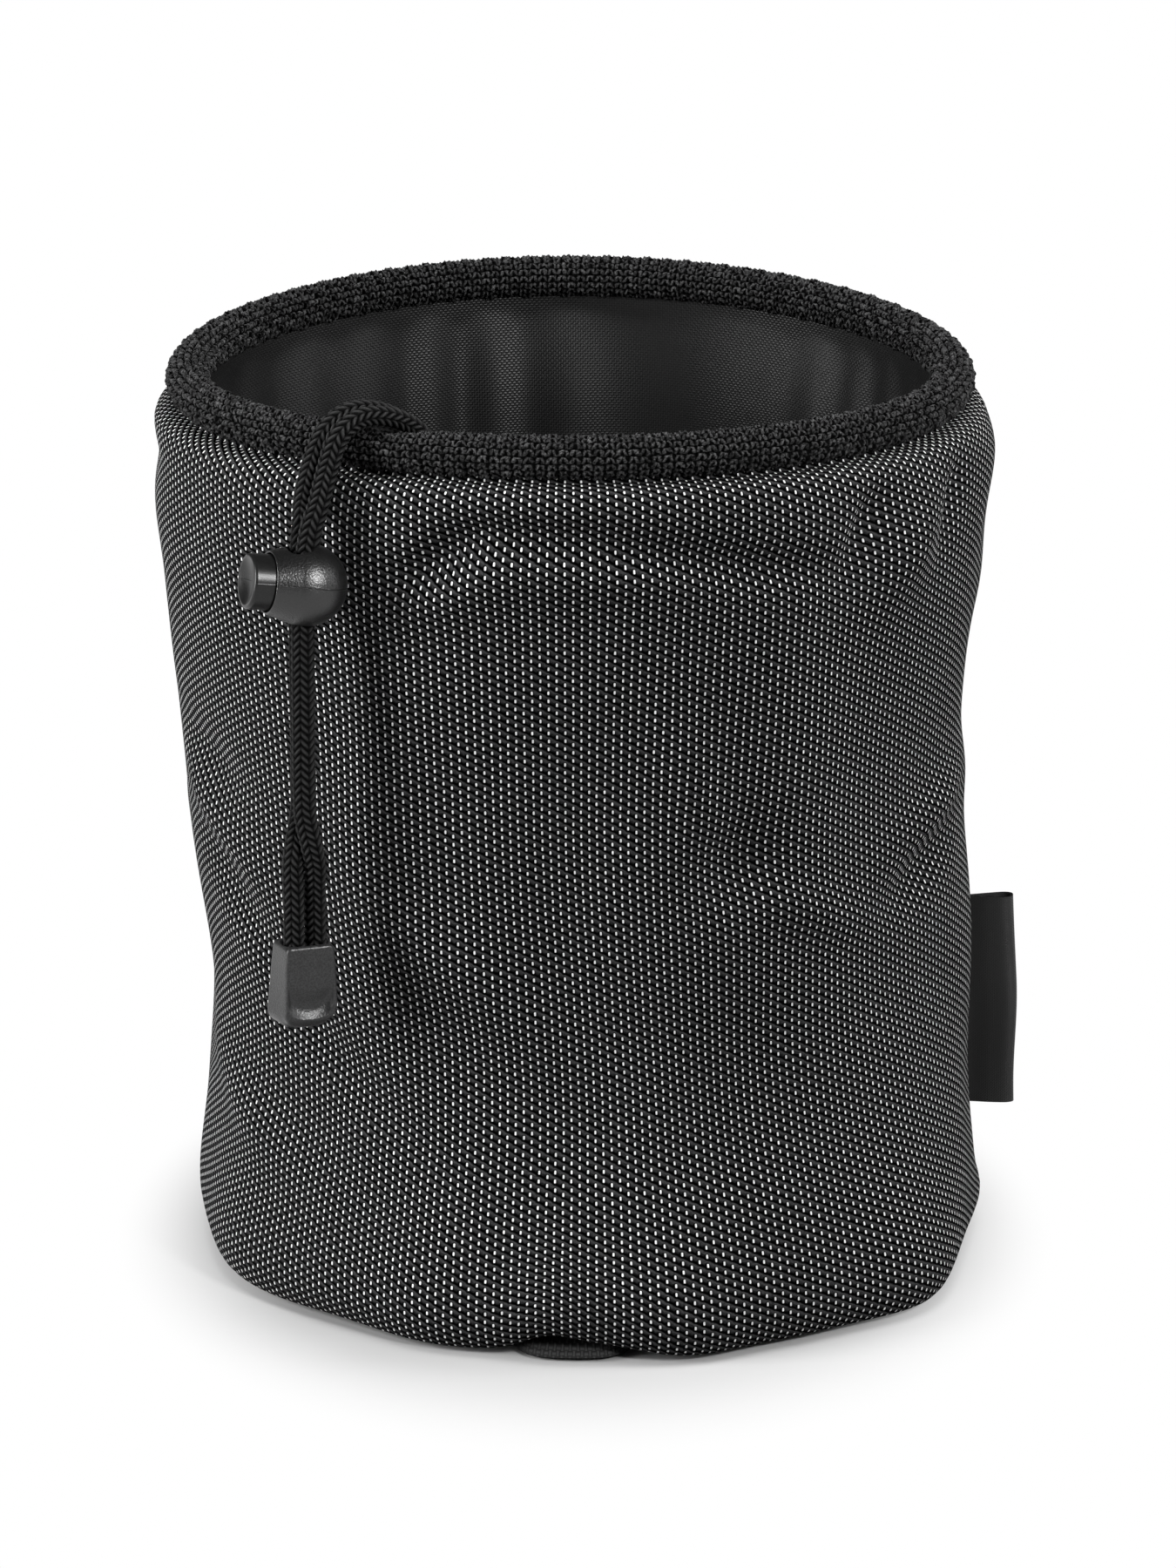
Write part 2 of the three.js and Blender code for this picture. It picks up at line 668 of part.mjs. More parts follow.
/** Adds a named piece to a group. */
function add(group, name, geometry, material) {
  const mesh = new THREE.Mesh(geometry, material);
  mesh.name = name;
  group.add(mesh);
}

const soft = (geometry) => reshape(geometry, settle);

add(bag, "side_panel", soft(sidePanel()), OUTER_CLOTH);
add(bag, "base_panel", soft(basePanel()), BLACK_CLOTH);
add(bag, "base_seam_binding", soft(baseSeamBinding()), BLACK_CLOTH);
add(bag, "side_seam_tape", soft(sideSeamTape()), BLACK_CLOTH);
add(bag, "label", soft(label()), LABEL_WEAVE);
add(bag, "rim_hoop", soft(rimHoop()), HOOP_PLASTIC);
add(bag, "rim_cover", soft(rimCover()), RIM_MESH);
add(bag, "collar", soft(collar()), COLLAR_WEAVE);
add(bag, "drawcord_loop", cordLoop(), BRAID);
for (const [name, side] of [["left", -1], ["right", 1]]) {
  add(bag, `drawcord_${name}_over_rim`, cordOverRim(side), BRAID);
  add(bag, `drawcord_${name}_hanging`, cordHanging(side), BRAID);
}

const lock = new THREE.Group();
lock.rotation.set(degToRad(LOCK_ROLL), -degToRad(LOCK_PITCH), degToRad(SIDE_AZIMUTH - 180), "ZYX");
const lockForward = new THREE.Vector3(CORDS_FORWARD, 0, 0).applyEuler(lock.rotation);
lock.position.copy(hangingPlace(LOCK_Z)).sub(lockForward);
add(lock, "cord_lock_body", lockBody(), LOCK_PLASTIC);
add(lock, "cord_lock_button", lockButton(), BUTTON_PLASTIC);
add(lock, "cord_lock_spring", lockSpring(), STEEL);
bag.add(lock);

const cordEnd = new THREE.Group();
cordEnd.position.copy(hangingPlace(END_TOP));
cordEnd.rotation.z = degToRad(END_AZIMUTH);
add(cordEnd, "cord_end_body", endBody(), END_PLASTIC);
add(cordEnd, "cord_end_cover", endCover(), END_PLASTIC);
bag.add(cordEnd);

export default bag;
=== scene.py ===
"""The looks of a round peg bag: a woven tub, a mesh-bound rim, a gathered collar and a locked drawcord."""

from __future__ import annotations

import logging
import math
from collections.abc import Iterable, Mapping, Sequence
from dataclasses import dataclass, field
from enum import Enum

import bmesh
import bpy
import numpy as np
from mathutils import Matrix, Vector


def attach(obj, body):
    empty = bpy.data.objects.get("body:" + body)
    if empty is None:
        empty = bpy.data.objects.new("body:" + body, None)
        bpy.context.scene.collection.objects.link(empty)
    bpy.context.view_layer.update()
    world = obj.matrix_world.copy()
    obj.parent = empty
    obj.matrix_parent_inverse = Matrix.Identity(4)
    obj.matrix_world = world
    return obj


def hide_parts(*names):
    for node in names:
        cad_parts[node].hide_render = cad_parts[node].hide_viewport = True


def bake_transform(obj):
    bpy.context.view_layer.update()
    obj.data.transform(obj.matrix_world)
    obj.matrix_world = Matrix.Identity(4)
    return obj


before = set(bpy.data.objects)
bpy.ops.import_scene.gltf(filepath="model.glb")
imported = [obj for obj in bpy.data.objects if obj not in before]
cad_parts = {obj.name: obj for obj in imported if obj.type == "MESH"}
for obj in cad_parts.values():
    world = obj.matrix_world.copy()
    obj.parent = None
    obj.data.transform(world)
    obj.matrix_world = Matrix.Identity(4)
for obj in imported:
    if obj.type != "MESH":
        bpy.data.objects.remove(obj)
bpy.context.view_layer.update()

LOG = logging.getLogger("peg_bag")
MM = 0.001
WEAVE_MAP = "Weave"
BAKE_MAP = "OFBake"
CHART_FILL = 0.98
SHARP_ANGLE = 55.0
CURVE_STEPS = 24
CORNER_STEPS = 9
LEAST_LENGTH = 1e-9
LEG_FOOT = 0.38
LEG_LEAN = 0.28
PATH_STEP = 8

Array = np.ndarray
Colour = tuple[float, float, float, float]
Material = bpy.types.Material
Piece = bpy.types.Object
Socket = bpy.types.NodeSocket
Span = tuple[float, float]


def grey(level: float) -> Colour:
    """Gives a grey of that level."""
    return level, level, level, 1.0


class Body(Enum):
    """The bodies of the frame that pieces ride on."""

    BAG = "bag"
    HANGING = "hanging_cord"
    LOCK = "cord_lock"
    BUTTON = "lock_button"


class Slot(Enum):
    """The record's material slots."""

    OUTER_CLOTH = "outer_cloth"
    BASE_CLOTH = "base_cloth"
    BINDING = "binding_tape"
    LABEL = "label_weave"
    RIM = "rim_mesh"
    COLLAR = "collar_weave"
    BRAID = "braid"
    LOCK = "lock_plastic"
    BUTTON = "button_plastic"
    SPRING = "spring_steel"
    END = "end_plastic"


class Side(Enum):
    """The two cords of the drawcord, by the side that each hangs on."""

    LEFT = -1
    RIGHT = 1


def eased(value: Array | float, low: float, high: float) -> Array:
    """Rises smoothly from 0 where the value is low to 1 where it is high."""
    share = np.clip((np.asarray(value, float) - low) / (high - low), 0.0, 1.0)
    return share * share * (3.0 - 2.0 * share)


def turn_between(azimuth: Array, middle: float) -> Array:
    """Gives the signed turn in degrees from a middle azimuth, within half a circle."""
    return (np.asarray(azimuth, float) - middle + 180.0) % 360.0 - 180.0


def hump(azimuth: Array, middle: float, reach: float) -> Array:
    """Gives a smooth hump that is 1 at a middle azimuth and fades over a reach, both in degrees."""
    return np.exp(-((turn_between(azimuth, middle) / reach) ** 2))


def resampled(line: Array, spacing: float) -> Array:
    """Steps along a line evenly.

    Args:
        line: Points of the line.
        spacing: The distance wanted between steps.

    Returns:
        Points at even distances, with both ends kept.
    """
    lengths = np.linalg.norm(np.diff(line, axis=0), axis=1)
    along = np.concatenate([[0.0], np.cumsum(lengths)])
    count = max(2, round(along[-1] / spacing) + 1)
    steps = np.linspace(0.0, along[-1], count)
    return np.stack([np.interp(steps, along, line[:, axis]) for axis in range(line.shape[1])], axis=1)


def rounded_line(points: Sequence[Sequence[float]], spacing: float, chord_power: float = 0.5) -> Array:
    """Draws a rounded line through points.

    Args:
        points: The points to pass through.
        spacing: The distance wanted between the line's steps.
        chord_power: How far the curve follows uneven point distances; 0 counts each span alike.

    Returns:
        Points along the line.
    """
    knots = np.asarray(points, float)
    padded = np.vstack([2 * knots[0] - knots[1], knots, 2 * knots[-1] - knots[-2]])
    drawn = []
    for first, start, end, last in zip(padded, padded[1:], padded[2:], padded[3:]):
        corners = [first, start, end, last]
        times = [0.0]
        for before, after in zip(corners, corners[1:]):
            span = max(np.linalg.norm(after - before), LEAST_LENGTH)
            times.append(times[-1] + span**chord_power)
        moment = np.linspace(times[1], times[2], CURVE_STEPS, endpoint=False)[:, None]
        level = corners
        for reach in (1, 2, 3):
            made = []
            for i in range(4 - reach):
                low = times[i] if reach < 3 else times[1]
                high = times[i + reach] if reach < 3 else times[2]
                near = (high - moment) / (high - low)
                far = (moment - low) / (high - low)
                made.append(near * level[i] + far * level[i + 1])
            level = made
        drawn.append(level[0])
    return resampled(np.vstack([*drawn, knots[-1:]]), spacing)


def lengths_along(line: Array) -> Array:
    """Gives the distance along a line to each of its points."""
    return np.concatenate([[0.0], np.cumsum(np.linalg.norm(np.diff(line, axis=0), axis=1))])


def weave_chart(along: Array, across: Array) -> Array:
    """Gives a grid's weave map from the places of its rows along the cloth and of its columns across it."""
    rows, columns = np.meshgrid(along, across, indexing="ij")
    return np.stack([columns, rows], axis=-1)


def left_of(line: Array, distance: float) -> Array:
    """Draws a line beside another one, to its left.

    Args:
        line: Points of radius and height.
        distance: How far to the left.

    Returns:
        The points of the line beside it.
    """
    along = np.gradient(line, axis=0)
    along /= np.linalg.norm(along, axis=1, keepdims=True)
    return line + distance * np.stack([-along[:, 1], along[:, 0]], axis=1)


class Value:
    """A shader value whose arithmetic adds Math nodes."""

    def __init__(self, graph: Graph, socket: Socket) -> None:
        """Keeps the graph and the socket that gives the value."""
        self.graph = graph
        self.socket = socket

    def _math(self, operation: str, *given: Value | float) -> Value:
        """Adds one Math node with these inputs in order, and gives its value."""
        made = self.graph.node("ShaderNodeMath", {"operation": operation}, dict(enumerate(given)))
        return Value(self.graph, made.outputs[0])

    def __add__(self, other: Value | float) -> Value:
        """Adds."""
        return self._math("ADD", self, other)

    def __radd__(self, other: float) -> Value:
        """Adds to a number."""
        return self._math("ADD", other, self)

    def __sub__(self, other: Value | float) -> Value:
        """Subtracts."""
        return self._math("SUBTRACT", self, other)

    def __rsub__(self, other: float) -> Value:
        """Subtracts from a number."""
        return self._math("SUBTRACT", other, self)

    def __mul__(self, other: Value | float) -> Value:
        """Multiplies."""
        return self._math("MULTIPLY", self, other)

    def __rmul__(self, other: float) -> Value:
        """Multiplies a number."""
        return self._math("MULTIPLY", other, self)

    def __truediv__(self, other: Value | float) -> Value:
        """Divides."""
        return self._math("DIVIDE", self, other)

    def __pow__(self, other: float) -> Value:
        """Raises to a power."""
        return self._math("POWER", self, other)

    def __abs__(self) -> Value:
        """Drops the sign."""
        return self._math("ABSOLUTE", self)

    def floor(self) -> Value:
        """Rounds down."""
        return self._math("FLOOR", self)

    def fract(self) -> Value:
        """Keeps the part after the point."""
        return self._math("FRACT", self)

    def wave(self) -> Value:
        """Gives a wave from 0 to 1 that repeats at each whole number and is highest there."""
        return self._math("COSINE", self * math.tau) * 0.5 + 0.5

    def root(self) -> Value:
        """Takes the square root."""
        return self._math("SQRT", self)

    def most(self, other: Value | float) -> Value:
        """Keeps the larger of two."""
        return self._math("MAXIMUM", self, other)

    def eased(self, low: float, high: float) -> Value:
        """Rises smoothly from 0 at low to 1 at high, or falls where low is the larger."""
        inputs = {"Value": self, "From Min": low, "From Max": high}
        made = self.graph.node("ShaderNodeMapRange", {"interpolation_type": "SMOOTHSTEP"}, inputs)
        return Value(self.graph, made.outputs[0])


class Graph:
    """The nodes of one material, or of the room."""

    def __init__(self, owner: Material | bpy.types.World) -> None:
        """Clears the nodes of the material or room."""
        owner.use_nodes = True
        self.owner = owner
        self.tree = owner.node_tree
        self.tree.nodes.clear()

    @classmethod
    def of_material(cls, name: str) -> Graph:
        """Starts an empty material of that name."""
        return cls(bpy.data.materials.new(name))

    def node(
        self,
        kind: str,
        settings: Mapping[str, object] | None = None,
        inputs: Mapping[str | int, object] | None = None,
    ) -> bpy.types.Node:
        """Adds a node.

        Args:
            kind: The node's type.
            settings: Its properties, set before its inputs.
            inputs: Values, or links, by socket name or number.

        Returns:
            The node.
        """
        made = self.tree.nodes.new(kind)
        for name, setting in (settings or {}).items():
            setattr(made, name, setting)
        for name, given in (inputs or {}).items():
            source = given.socket if isinstance(given, Value) else given
            if isinstance(source, Socket):
                self.tree.links.new(source, made.inputs[name])
            else:
                made.inputs[name].default_value = source
        return made

    def weave(self) -> tuple[Value, Value]:
        """Gives the place on the cloth, across and along, in the units of its weave map."""
        place = self.node("ShaderNodeUVMap", {"uv_map": WEAVE_MAP})
        parts = self.node("ShaderNodeSeparateXYZ", {}, {0: place.outputs[0]})
        return Value(self, parts.outputs[0]), Value(self, parts.outputs[1])

    def place(self) -> Socket:
        """Gives the place on the object, in metres."""
        return self.node("ShaderNodeTexCoord").outputs["Object"]

    def distance(self, stretch: float, forward: float) -> Value:
        """Gives the distance from the object's upright axis, in metres.

        Args:
            stretch: How many times further it counts across.
            forward: How far the axis is moved to the front.

        Returns:
            The distance.
        """
        parts = self.node("ShaderNodeSeparateXYZ", {}, {0: self.place()}).outputs
        across, along = Value(self, parts[0]) * stretch, Value(self, parts[1]) + forward
        return (across * across + along * along).root()

    def joined(self, across: Value | float, along: Value | float) -> Socket:
        """Joins two values into a vector."""
        return self.node("ShaderNodeCombineXYZ", {}, {0: across, 1: along}).outputs[0]

    def noise(self, vector: Socket, scale: float, detail: float = 2.0) -> Value:
        """Gives smooth noise from 0 to 1, with so many lumps in a unit and so many finer layers."""
        inputs = {"Vector": vector, "Scale": scale, "Detail": detail}
        return Value(self, self.node("ShaderNodeTexNoise", {}, inputs).outputs[0])

    def chance(self, vector: Socket) -> Value:
        """Gives a chance value from 0 to 1 that is the same all over one cell."""
        made = self.node("ShaderNodeTexWhiteNoise", {"noise_dimensions": "2D"}, {"Vector": vector})
        return Value(self, made.outputs["Value"])

    def mixed(self, share: Value, low: object, high: object) -> Socket:
        """Mixes two colours by the share of the second one."""
        return self.node("ShaderNodeMix", {"data_type": "RGBA"}, {0: share, 6: low, 7: high}).outputs[2]

    def relief(self, height: Value, depth: float) -> Socket:
        """Turns a height from 0 to 1 into a bumped normal, for a depth in metres."""
        inputs = {"Strength": 1.0, "Distance": depth, "Height": height}
        return self.node("ShaderNodeBump", {}, inputs).outputs[0]

    def finished(self, inputs: Mapping[str, object]) -> Material:
        """Closes the material with a Principled shader.

        Args:
            inputs: The shader's inputs by name.

        Returns:
            The material.
        """
        shader = self.node("ShaderNodeBsdfPrincipled", {}, inputs)
        self.node("ShaderNodeOutputMaterial", {}, {"Surface": shader.outputs[0]})
        return self.owner


@dataclass(frozen=True)
class TickCloth:
    """A charcoal twill in which short pale threads show in staggered columns.

    Its weave map counts the columns across and the ticks along.
    """

    name: str = "tick_cloth"
    # Painted shade: the near-black colour of the twill's grooves stands for the shade between its ridges.
    furrow_shade: Colour = (0.0006, 0.0006, 0.0006, 1.0)
    ridge: Colour = (0.048, 0.048, 0.049, 1.0)
    thread: Colour = (0.95, 0.95, 0.95, 1.0)
    column: float = 1.68
    row: float = 1.80
    tick_half_width: float = 0.212
    tick_half_length: float = 0.205
    groove: float = 0.62
    wander: float = 0.08
    # shade_aside and shade_reach place and size the painted shadow beside each tick.
    shade_aside: float = 0.14
    shade_reach: Span = (0.70, 0.32)
    fibres: Span = (3.4, 7.0)
    patches: float = 0.06
    depth: float = 0.00026

    def material(self) -> Material:
        """Builds the cloth."""
        graph = Graph.of_material(self.name)
        across, along = graph.weave()
        column = across.floor()
        staggered = along + (column * 0.5).fract()
        chance = graph.chance(graph.joined(column, staggered.floor()))
        aside = (across.fract() - 0.5 + (chance - 0.5) * self.wander) * self.column
        rise = (staggered.fract() - 0.5) * self.row
        tick = self.rounded(aside, rise).eased(self.tick_half_width * 1.15, self.tick_half_width * 0.75)
        # painted shadow: the ground is darkened round each tick, shifted to one side, as the tick's cast
        # shadow
        sunk = self.rounded(aside + self.shade_aside, rise + self.shade_aside).eased(*self.shade_reach)
        slanted = along + across * 0.5
        below = (self.groove - along - across * 0.5).fract()
        band = below.eased(0.24, 0.48) * (1.0 - below.eased(0.52, 1.0) * 0.8)
        threads = graph.joined(across * self.fibres[0], slanted * self.fibres[1])
        fibre = graph.noise(threads, 1.0, 3.0).eased(0.25, 0.75)
        patchy = graph.noise(graph.joined(across, along), self.patches)
        # painted shade: where the twill band is low, the ground runs to the near-black furrow colour, the
        # shade in the grooves
        ground = band * (0.25 + fibre * 1.4) * (1.0 - sunk) * (0.75 + patchy * 0.5)
        cloth = graph.mixed(ground, self.furrow_shade, self.ridge)
        colour = graph.mixed(tick * (0.82 + chance * 0.18), cloth, self.thread)
        return graph.finished(
            {
                "Base Color": colour,
                "Roughness": 0.9 - tick * 0.3,
                "Specular IOR Level": 0.0,
                "Normal": graph.relief(band * 0.6 + tick * 0.7 + fibre * 0.15, self.depth),
            }
        )

    def rounded(self, aside: Value, rise: Value) -> Value:
        """Gives the distance in millimetres from a tick's upright middle line."""
        beyond = (abs(rise) - self.tick_half_length).most(0.0)
        return (aside * aside + beyond * beyond).root()


@dataclass(frozen=True)
class RimKnit:
    """A coarse black knit; its weave map counts the loops across and the rows along."""

    name: str = "rim_knit"
    # Painted highlight and shade: the loops' tops are painted lighter than the knit's dark yarn and the gaps
    # near black.
    gap: Colour = grey(0.0005)
    loop: Colour = (0.10, 0.10, 0.101, 1.0)
    lumps: float = 1.4
    slack: Span = (0.55, 0.45)
    every_other: float = 0.15
    yarn: Span = (6.0, 4.0)
    depth: float = 0.00035

    def material(self) -> Material:
        """Builds the mesh's finish."""
        graph = Graph.of_material(self.name)
        across, along = graph.weave()
        loose = graph.noise(graph.joined(across * self.lumps, along * self.lumps), 1.0, 1.0) - 0.5
        across = across + loose * self.slack[0]
        along = along + loose * self.slack[1]
        rise = along.fract()
        leg = abs(abs(across.fract() - 0.5) - LEG_FOOT + rise * LEG_LEAN).eased(0.23, 0.07)
        ends = abs(rise - 0.5).eased(0.52, 0.40)
        paler = (across * 0.5).fract().eased(0.4, 0.6) * self.every_other
        chance = graph.chance(graph.joined((across * 2.0).floor(), along.floor())) + paler
        yarn = graph.noise(graph.joined(across * self.yarn[0], along * self.yarn[1]), 1.0, 3.0)
        # painted light: the colour follows the loops' relief, the same leg shape as the rim's mesh, light on
        # the tops and near black in the gaps
        loop = leg * ends
        share = loop * (0.05 + yarn.eased(0.3, 0.7) * 0.9) * (0.42 + chance * 0.6)
        colour = graph.mixed(share, self.gap, self.loop)
        return graph.finished(
            {
                "Base Color": colour,
                "Roughness": 0.75 - yarn * 0.2,
                "Specular IOR Level": 0.02,
                "Normal": graph.relief(yarn * 0.35 + loop * 0.65, self.depth),
            }
        )


@dataclass(frozen=True)
class PlainWeave:
    """A plain woven cloth; its weave map counts the threads both ways."""

    name: str
    shade: Colour
    light: Colour
    rib: float = 1.0
    gloss: float = 0.15
    depth: float = 0.00012
    roughness: float = 0.75

    def material(self) -> Material:
        """Builds the cloth."""
        graph = Graph.of_material(self.name)
        across, along = graph.weave()
        over = (across.floor() + along.floor()) * 0.5
        upper = over.fract() * 2.0
        warp = (across + 0.5).wave()
        weft = (along + 0.5).wave()
        thread = warp * upper + weft * (1.0 - upper) * self.rib
        slub = graph.noise(graph.joined(across * 0.7, along * 0.12), 1.0)
        worn = graph.noise(graph.joined(across, along), 0.02, 3.0)
        colour = graph.mixed(thread * (0.35 + slub * 0.7) * (0.6 + worn * 0.7), self.shade, self.light)
        return graph.finished(
            {
                "Base Color": colour,
                "Roughness": self.roughness - slub * 0.15,
                "Specular IOR Level": self.gloss,
                "Normal": graph.relief(thread + slub * 0.3, self.depth),
            }
        )


@dataclass(frozen=True)
class Braid:
    """A black braid; its weave map counts the strand columns round the cord and the strands along it."""

    name: str = "braid"
    # Painted shade and highlight: gap is the near-black shade between strands, strand the lit crest of each
    # strand.
    gap: Colour = grey(0.0004)
    strand: Colour = grey(0.046)
    slant: float = 1.0
    depth: float = 0.00014

    def material(self) -> Material:
        """Builds the braid's finish."""
        graph = Graph.of_material(self.name)
        across, along = graph.weave()
        side = (across.floor() * 0.5).fract() * 4.0 - 1.0
        aside = across.fract() - 0.5
        strand = (along + aside * side * self.slant).wave() ** 1.4
        fibre = graph.noise(graph.joined(across * 2.0, along * 6.0 + aside * side * 5.4), 1.6, 3.0)
        # painted light: each strand is lighter along its crest and darkens to the gap colour at its edges,
        # following the braid's relief
        body = strand * (1.0 - abs(aside * 2.0) ** 3.0 * 0.9)
        colour = graph.mixed(body * (0.1 + fibre * 1.4), self.gap, self.strand)
        return graph.finished(
            {
                "Base Color": colour,
                "Roughness": 0.62 - fibre * 0.15,
                "Specular IOR Level": 0.03,
                "Normal": graph.relief(fibre, self.depth),
            }
        )


@dataclass(frozen=True)
class Moulding:
    """Moulded plastic with a fine spark-eroded grain and an optional parting line."""

    name: str
    shade: Colour
    light: Colour
    roughness: float
    grain: float
    grain_depth: float
    parted: bool = False
    gloss: float = 0.3
    clouds: float = 160.0
    parting_half: Span = (0.16, 0.04)
    parting_rise: float = 2.5

    def material(self) -> Material:
        """Builds the plastic."""
        graph = Graph.of_material(self.name)
        place = graph.place()
        grain = graph.noise(place, self.grain, 2.0)
        cloudy = graph.noise(place, self.clouds, 3.0)
        relief = grain
        if self.parted:
            relief = grain + abs(graph.weave()[0]).eased(*self.parting_half) * self.parting_rise
        rubbed = Value(graph, graph.node("ShaderNodeNewGeometry").outputs["Pointiness"]).eased(0.5, 0.62)
        paler = cloudy * 0.2 + grain.eased(0.35, 0.65) * 0.6 + rubbed * 0.3
        colour = graph.mixed(paler, self.shade, self.light)
        return graph.finished(
            {
                "Base Color": colour,
                "Roughness": self.roughness + (cloudy - 0.5) * 0.12 - rubbed * 0.05,
                "Specular IOR Level": self.gloss,
                "Normal": graph.relief(relief, self.grain_depth),
            }
        )


@dataclass(frozen=True)
class SpringSteel:
    """Bright drawn wire."""

    name: str = "spring_steel"
    dull: Colour = (0.50, 0.51, 0.53, 1.0)
    bright: Colour = (0.68, 0.69, 0.71, 1.0)
    marks: float = 2400.0

    def material(self) -> Material:
        """Builds the steel."""
        graph = Graph.of_material(self.name)
        drawn = graph.noise(graph.place(), self.marks, 2.0)
        colour = graph.mixed(drawn, self.dull, self.bright)
        return graph.finished({"Base Color": colour, "Metallic": 1.0, "Roughness": 0.22 + drawn * 0.2})


@dataclass(frozen=True)
class StudioPaper:
    """Studio paper that looks white to the camera and keeps the shadow round the bag."""

    name: str = "studio_paper"
    white: Colour = grey(1.0)
    paper: Colour = grey(0.5)
    bounce: Colour = grey(0.24)
    shadow_near: float = 0.088
    shadow_far: float = 0.134
    stretch: float = 1.28
    forward: float = 0.01

    def material(self) -> Material:
        """Builds the paper."""
        graph = Graph.of_material(self.name)
        ray = graph.node("ShaderNodeLightPath").outputs
        seen = Value(graph, ray["Is Camera Ray"]).most(Value(graph, ray["Is Glossy Ray"]))
        reach = graph.distance(self.stretch, self.forward).eased(self.shadow_near, self.shadow_far)
        straight = graph.node("ShaderNodeBsdfDiffuse", {}, {"Color": self.paper})
        bounced = graph.node("ShaderNodeBsdfDiffuse", {}, {"Color": self.bounce})
        sides = {0: ray["Is Camera Ray"], 1: bounced.outputs[0], 2: straight.outputs[0]}
        paper = graph.node("ShaderNodeMixShader", {}, sides)
        glow = graph.node("ShaderNodeEmission", {}, {"Color": self.white, "Strength": 1.0})
        inputs = {0: seen * reach, 1: paper.outputs[0], 2: glow.outputs[0]}
        mixed = graph.node("ShaderNodeMixShader", {}, inputs)
        graph.node("ShaderNodeOutputMaterial", {}, {"Surface": mixed.outputs[0]})
        return graph.owner


@dataclass
class Patch:
    """A grid of points in millimetres that becomes part of a mesh."""

    points: Array
    weave: Array
    closed_rows: bool = False
    closed_columns: bool = False
    row_finish: Array | None = None
    kept: Array | None = None

    def corners(self) -> Array:
        """Gives each face's four point numbers, by rows and columns of faces."""
        rows, columns = self.points.shape[:2]
        number = np.arange(rows * columns).reshape(rows, columns)
        if self.closed_rows:
            number = np.vstack([number, number[:1]])
        if self.closed_columns:
            number = np.hstack([number, number[:, :1]])
        return np.stack([number[:-1, :-1], number[:-1, 1:], number[1:, 1:], number[1:, :-1]], axis=-1)

    def corner_maps(self, chart: Array) -> Array:
        """Gives a map's value at each face's four corners."""
        return np.stack([chart[:-1, :-1], chart[:-1, 1:], chart[1:, 1:], chart[1:, :-1]], axis=2)

    def bake_chart(self) -> Array:
        """Lays the grid out flat for baking, from 0 to 1 both ways."""
        rows, columns = self.weave.shape[:2]
        along, across = np.meshgrid(np.linspace(0, 1, rows), np.linspace(0, 1, columns), indexing="ij")
        return np.stack([across, along], axis=-1)


def mesh_piece(
    name: str, patches: Sequence[Patch], finishes: Sequence[Material]
) -> Piece:
    """Makes a mesh object from patches.

    Args:
        name: The piece's name.
        patches: The grids, each a separate sheet of the mesh.
        finishes: The materials that row_finish counts.

    Returns:
        The object, linked to the scene.
    """
    points, faces, weaves, bakes, numbers = [], [], [], [], []
    offset = 0
    share = 1.0 / len(patches)
    for index, patch in enumerate(patches):
        corners = patch.corners()
        weave = patch.corner_maps(patch.weave)
        chart = patch.corner_maps(patch.bake_chart())
        bake = chart * [1.0, share * CHART_FILL] + [0.0, share * index]
        finish = np.zeros(corners.shape[0], int) if patch.row_finish is None else patch.row_finish
        number = np.repeat(finish[:, None], corners.shape[1], axis=1)
        kept = np.ones(corners.shape[:2], bool) if patch.kept is None else patch.kept
        faces.append(corners[kept] + offset)
        weaves.append(weave[kept])
        bakes.append(bake[kept])
        numbers.append(number[kept])
        points.append(patch.points.reshape(-1, 3))
        offset += points[-1].shape[0]
    mesh = bpy.data.meshes.new(name)
    mesh.from_pydata((np.vstack(points) * MM).tolist(), [], np.vstack(faces).tolist())
    for label, chart in ((WEAVE_MAP, weaves), (BAKE_MAP, bakes)):
        layer = mesh.uv_layers.new(name=label)
        layer.data.foreach_set("uv", np.vstack(chart).astype(np.float32).ravel())
    mesh.polygons.foreach_set("material_index", np.concatenate(numbers).astype(np.int32))
    for finish in finishes:
        mesh.materials.append(finish)
    mesh.validate()
    piece = bpy.data.objects.new(name, mesh)
    bpy.context.scene.collection.objects.link(piece)
    tidied(piece)
    return piece


def tidied(piece: Piece, merge: float = 1e-7, sharp: float = SHARP_ANGLE) -> None:
    """Merges doubled points, drops loose ones and shades a mesh smooth.

    Args:
        piece: The mesh object.
        merge: The distance in metres under which points are one.
        sharp: The angle in degrees above which an edge stays sharp.
    """
    work = bmesh.new()
    work.from_mesh(piece.data)
    bmesh.ops.remove_doubles(work, verts=work.verts[:], dist=merge)
    loose = [point for point in work.verts if not point.link_faces]
    bmesh.ops.delete(work, geom=loose, context="VERTS")
    if not any(edge.is_boundary for edge in work.edges):
        bmesh.ops.recalc_face_normals(work, faces=work.faces[:])
    work.to_mesh(piece.data)
    work.free()
    piece.data.shade_smooth()
    piece.data.set_sharp_from_angle(angle=math.radians(sharp))


def with_modifier(piece: Piece, kind: str, settings: Mapping[str, object]) -> None:
    """Puts a modifier on a mesh and applies it.

    Args:
        piece: The mesh object.
        kind: The modifier's type.
        settings: The modifier's properties.
    """
    made = piece.modifiers.new(kind.lower(), kind)
    for name, setting in settings.items():
        setattr(made, name, setting)
    bpy.context.view_layer.update()
    depsgraph = bpy.context.evaluated_depsgraph_get()
    shaped = bpy.data.meshes.new_from_object(
        piece.evaluated_get(depsgraph), preserve_all_data_layers=True, depsgraph=depsgraph
    )
    before = piece.data
    piece.modifiers.clear()
    piece.data = shaped
    shaped.name = before.name
    bpy.data.meshes.remove(before)


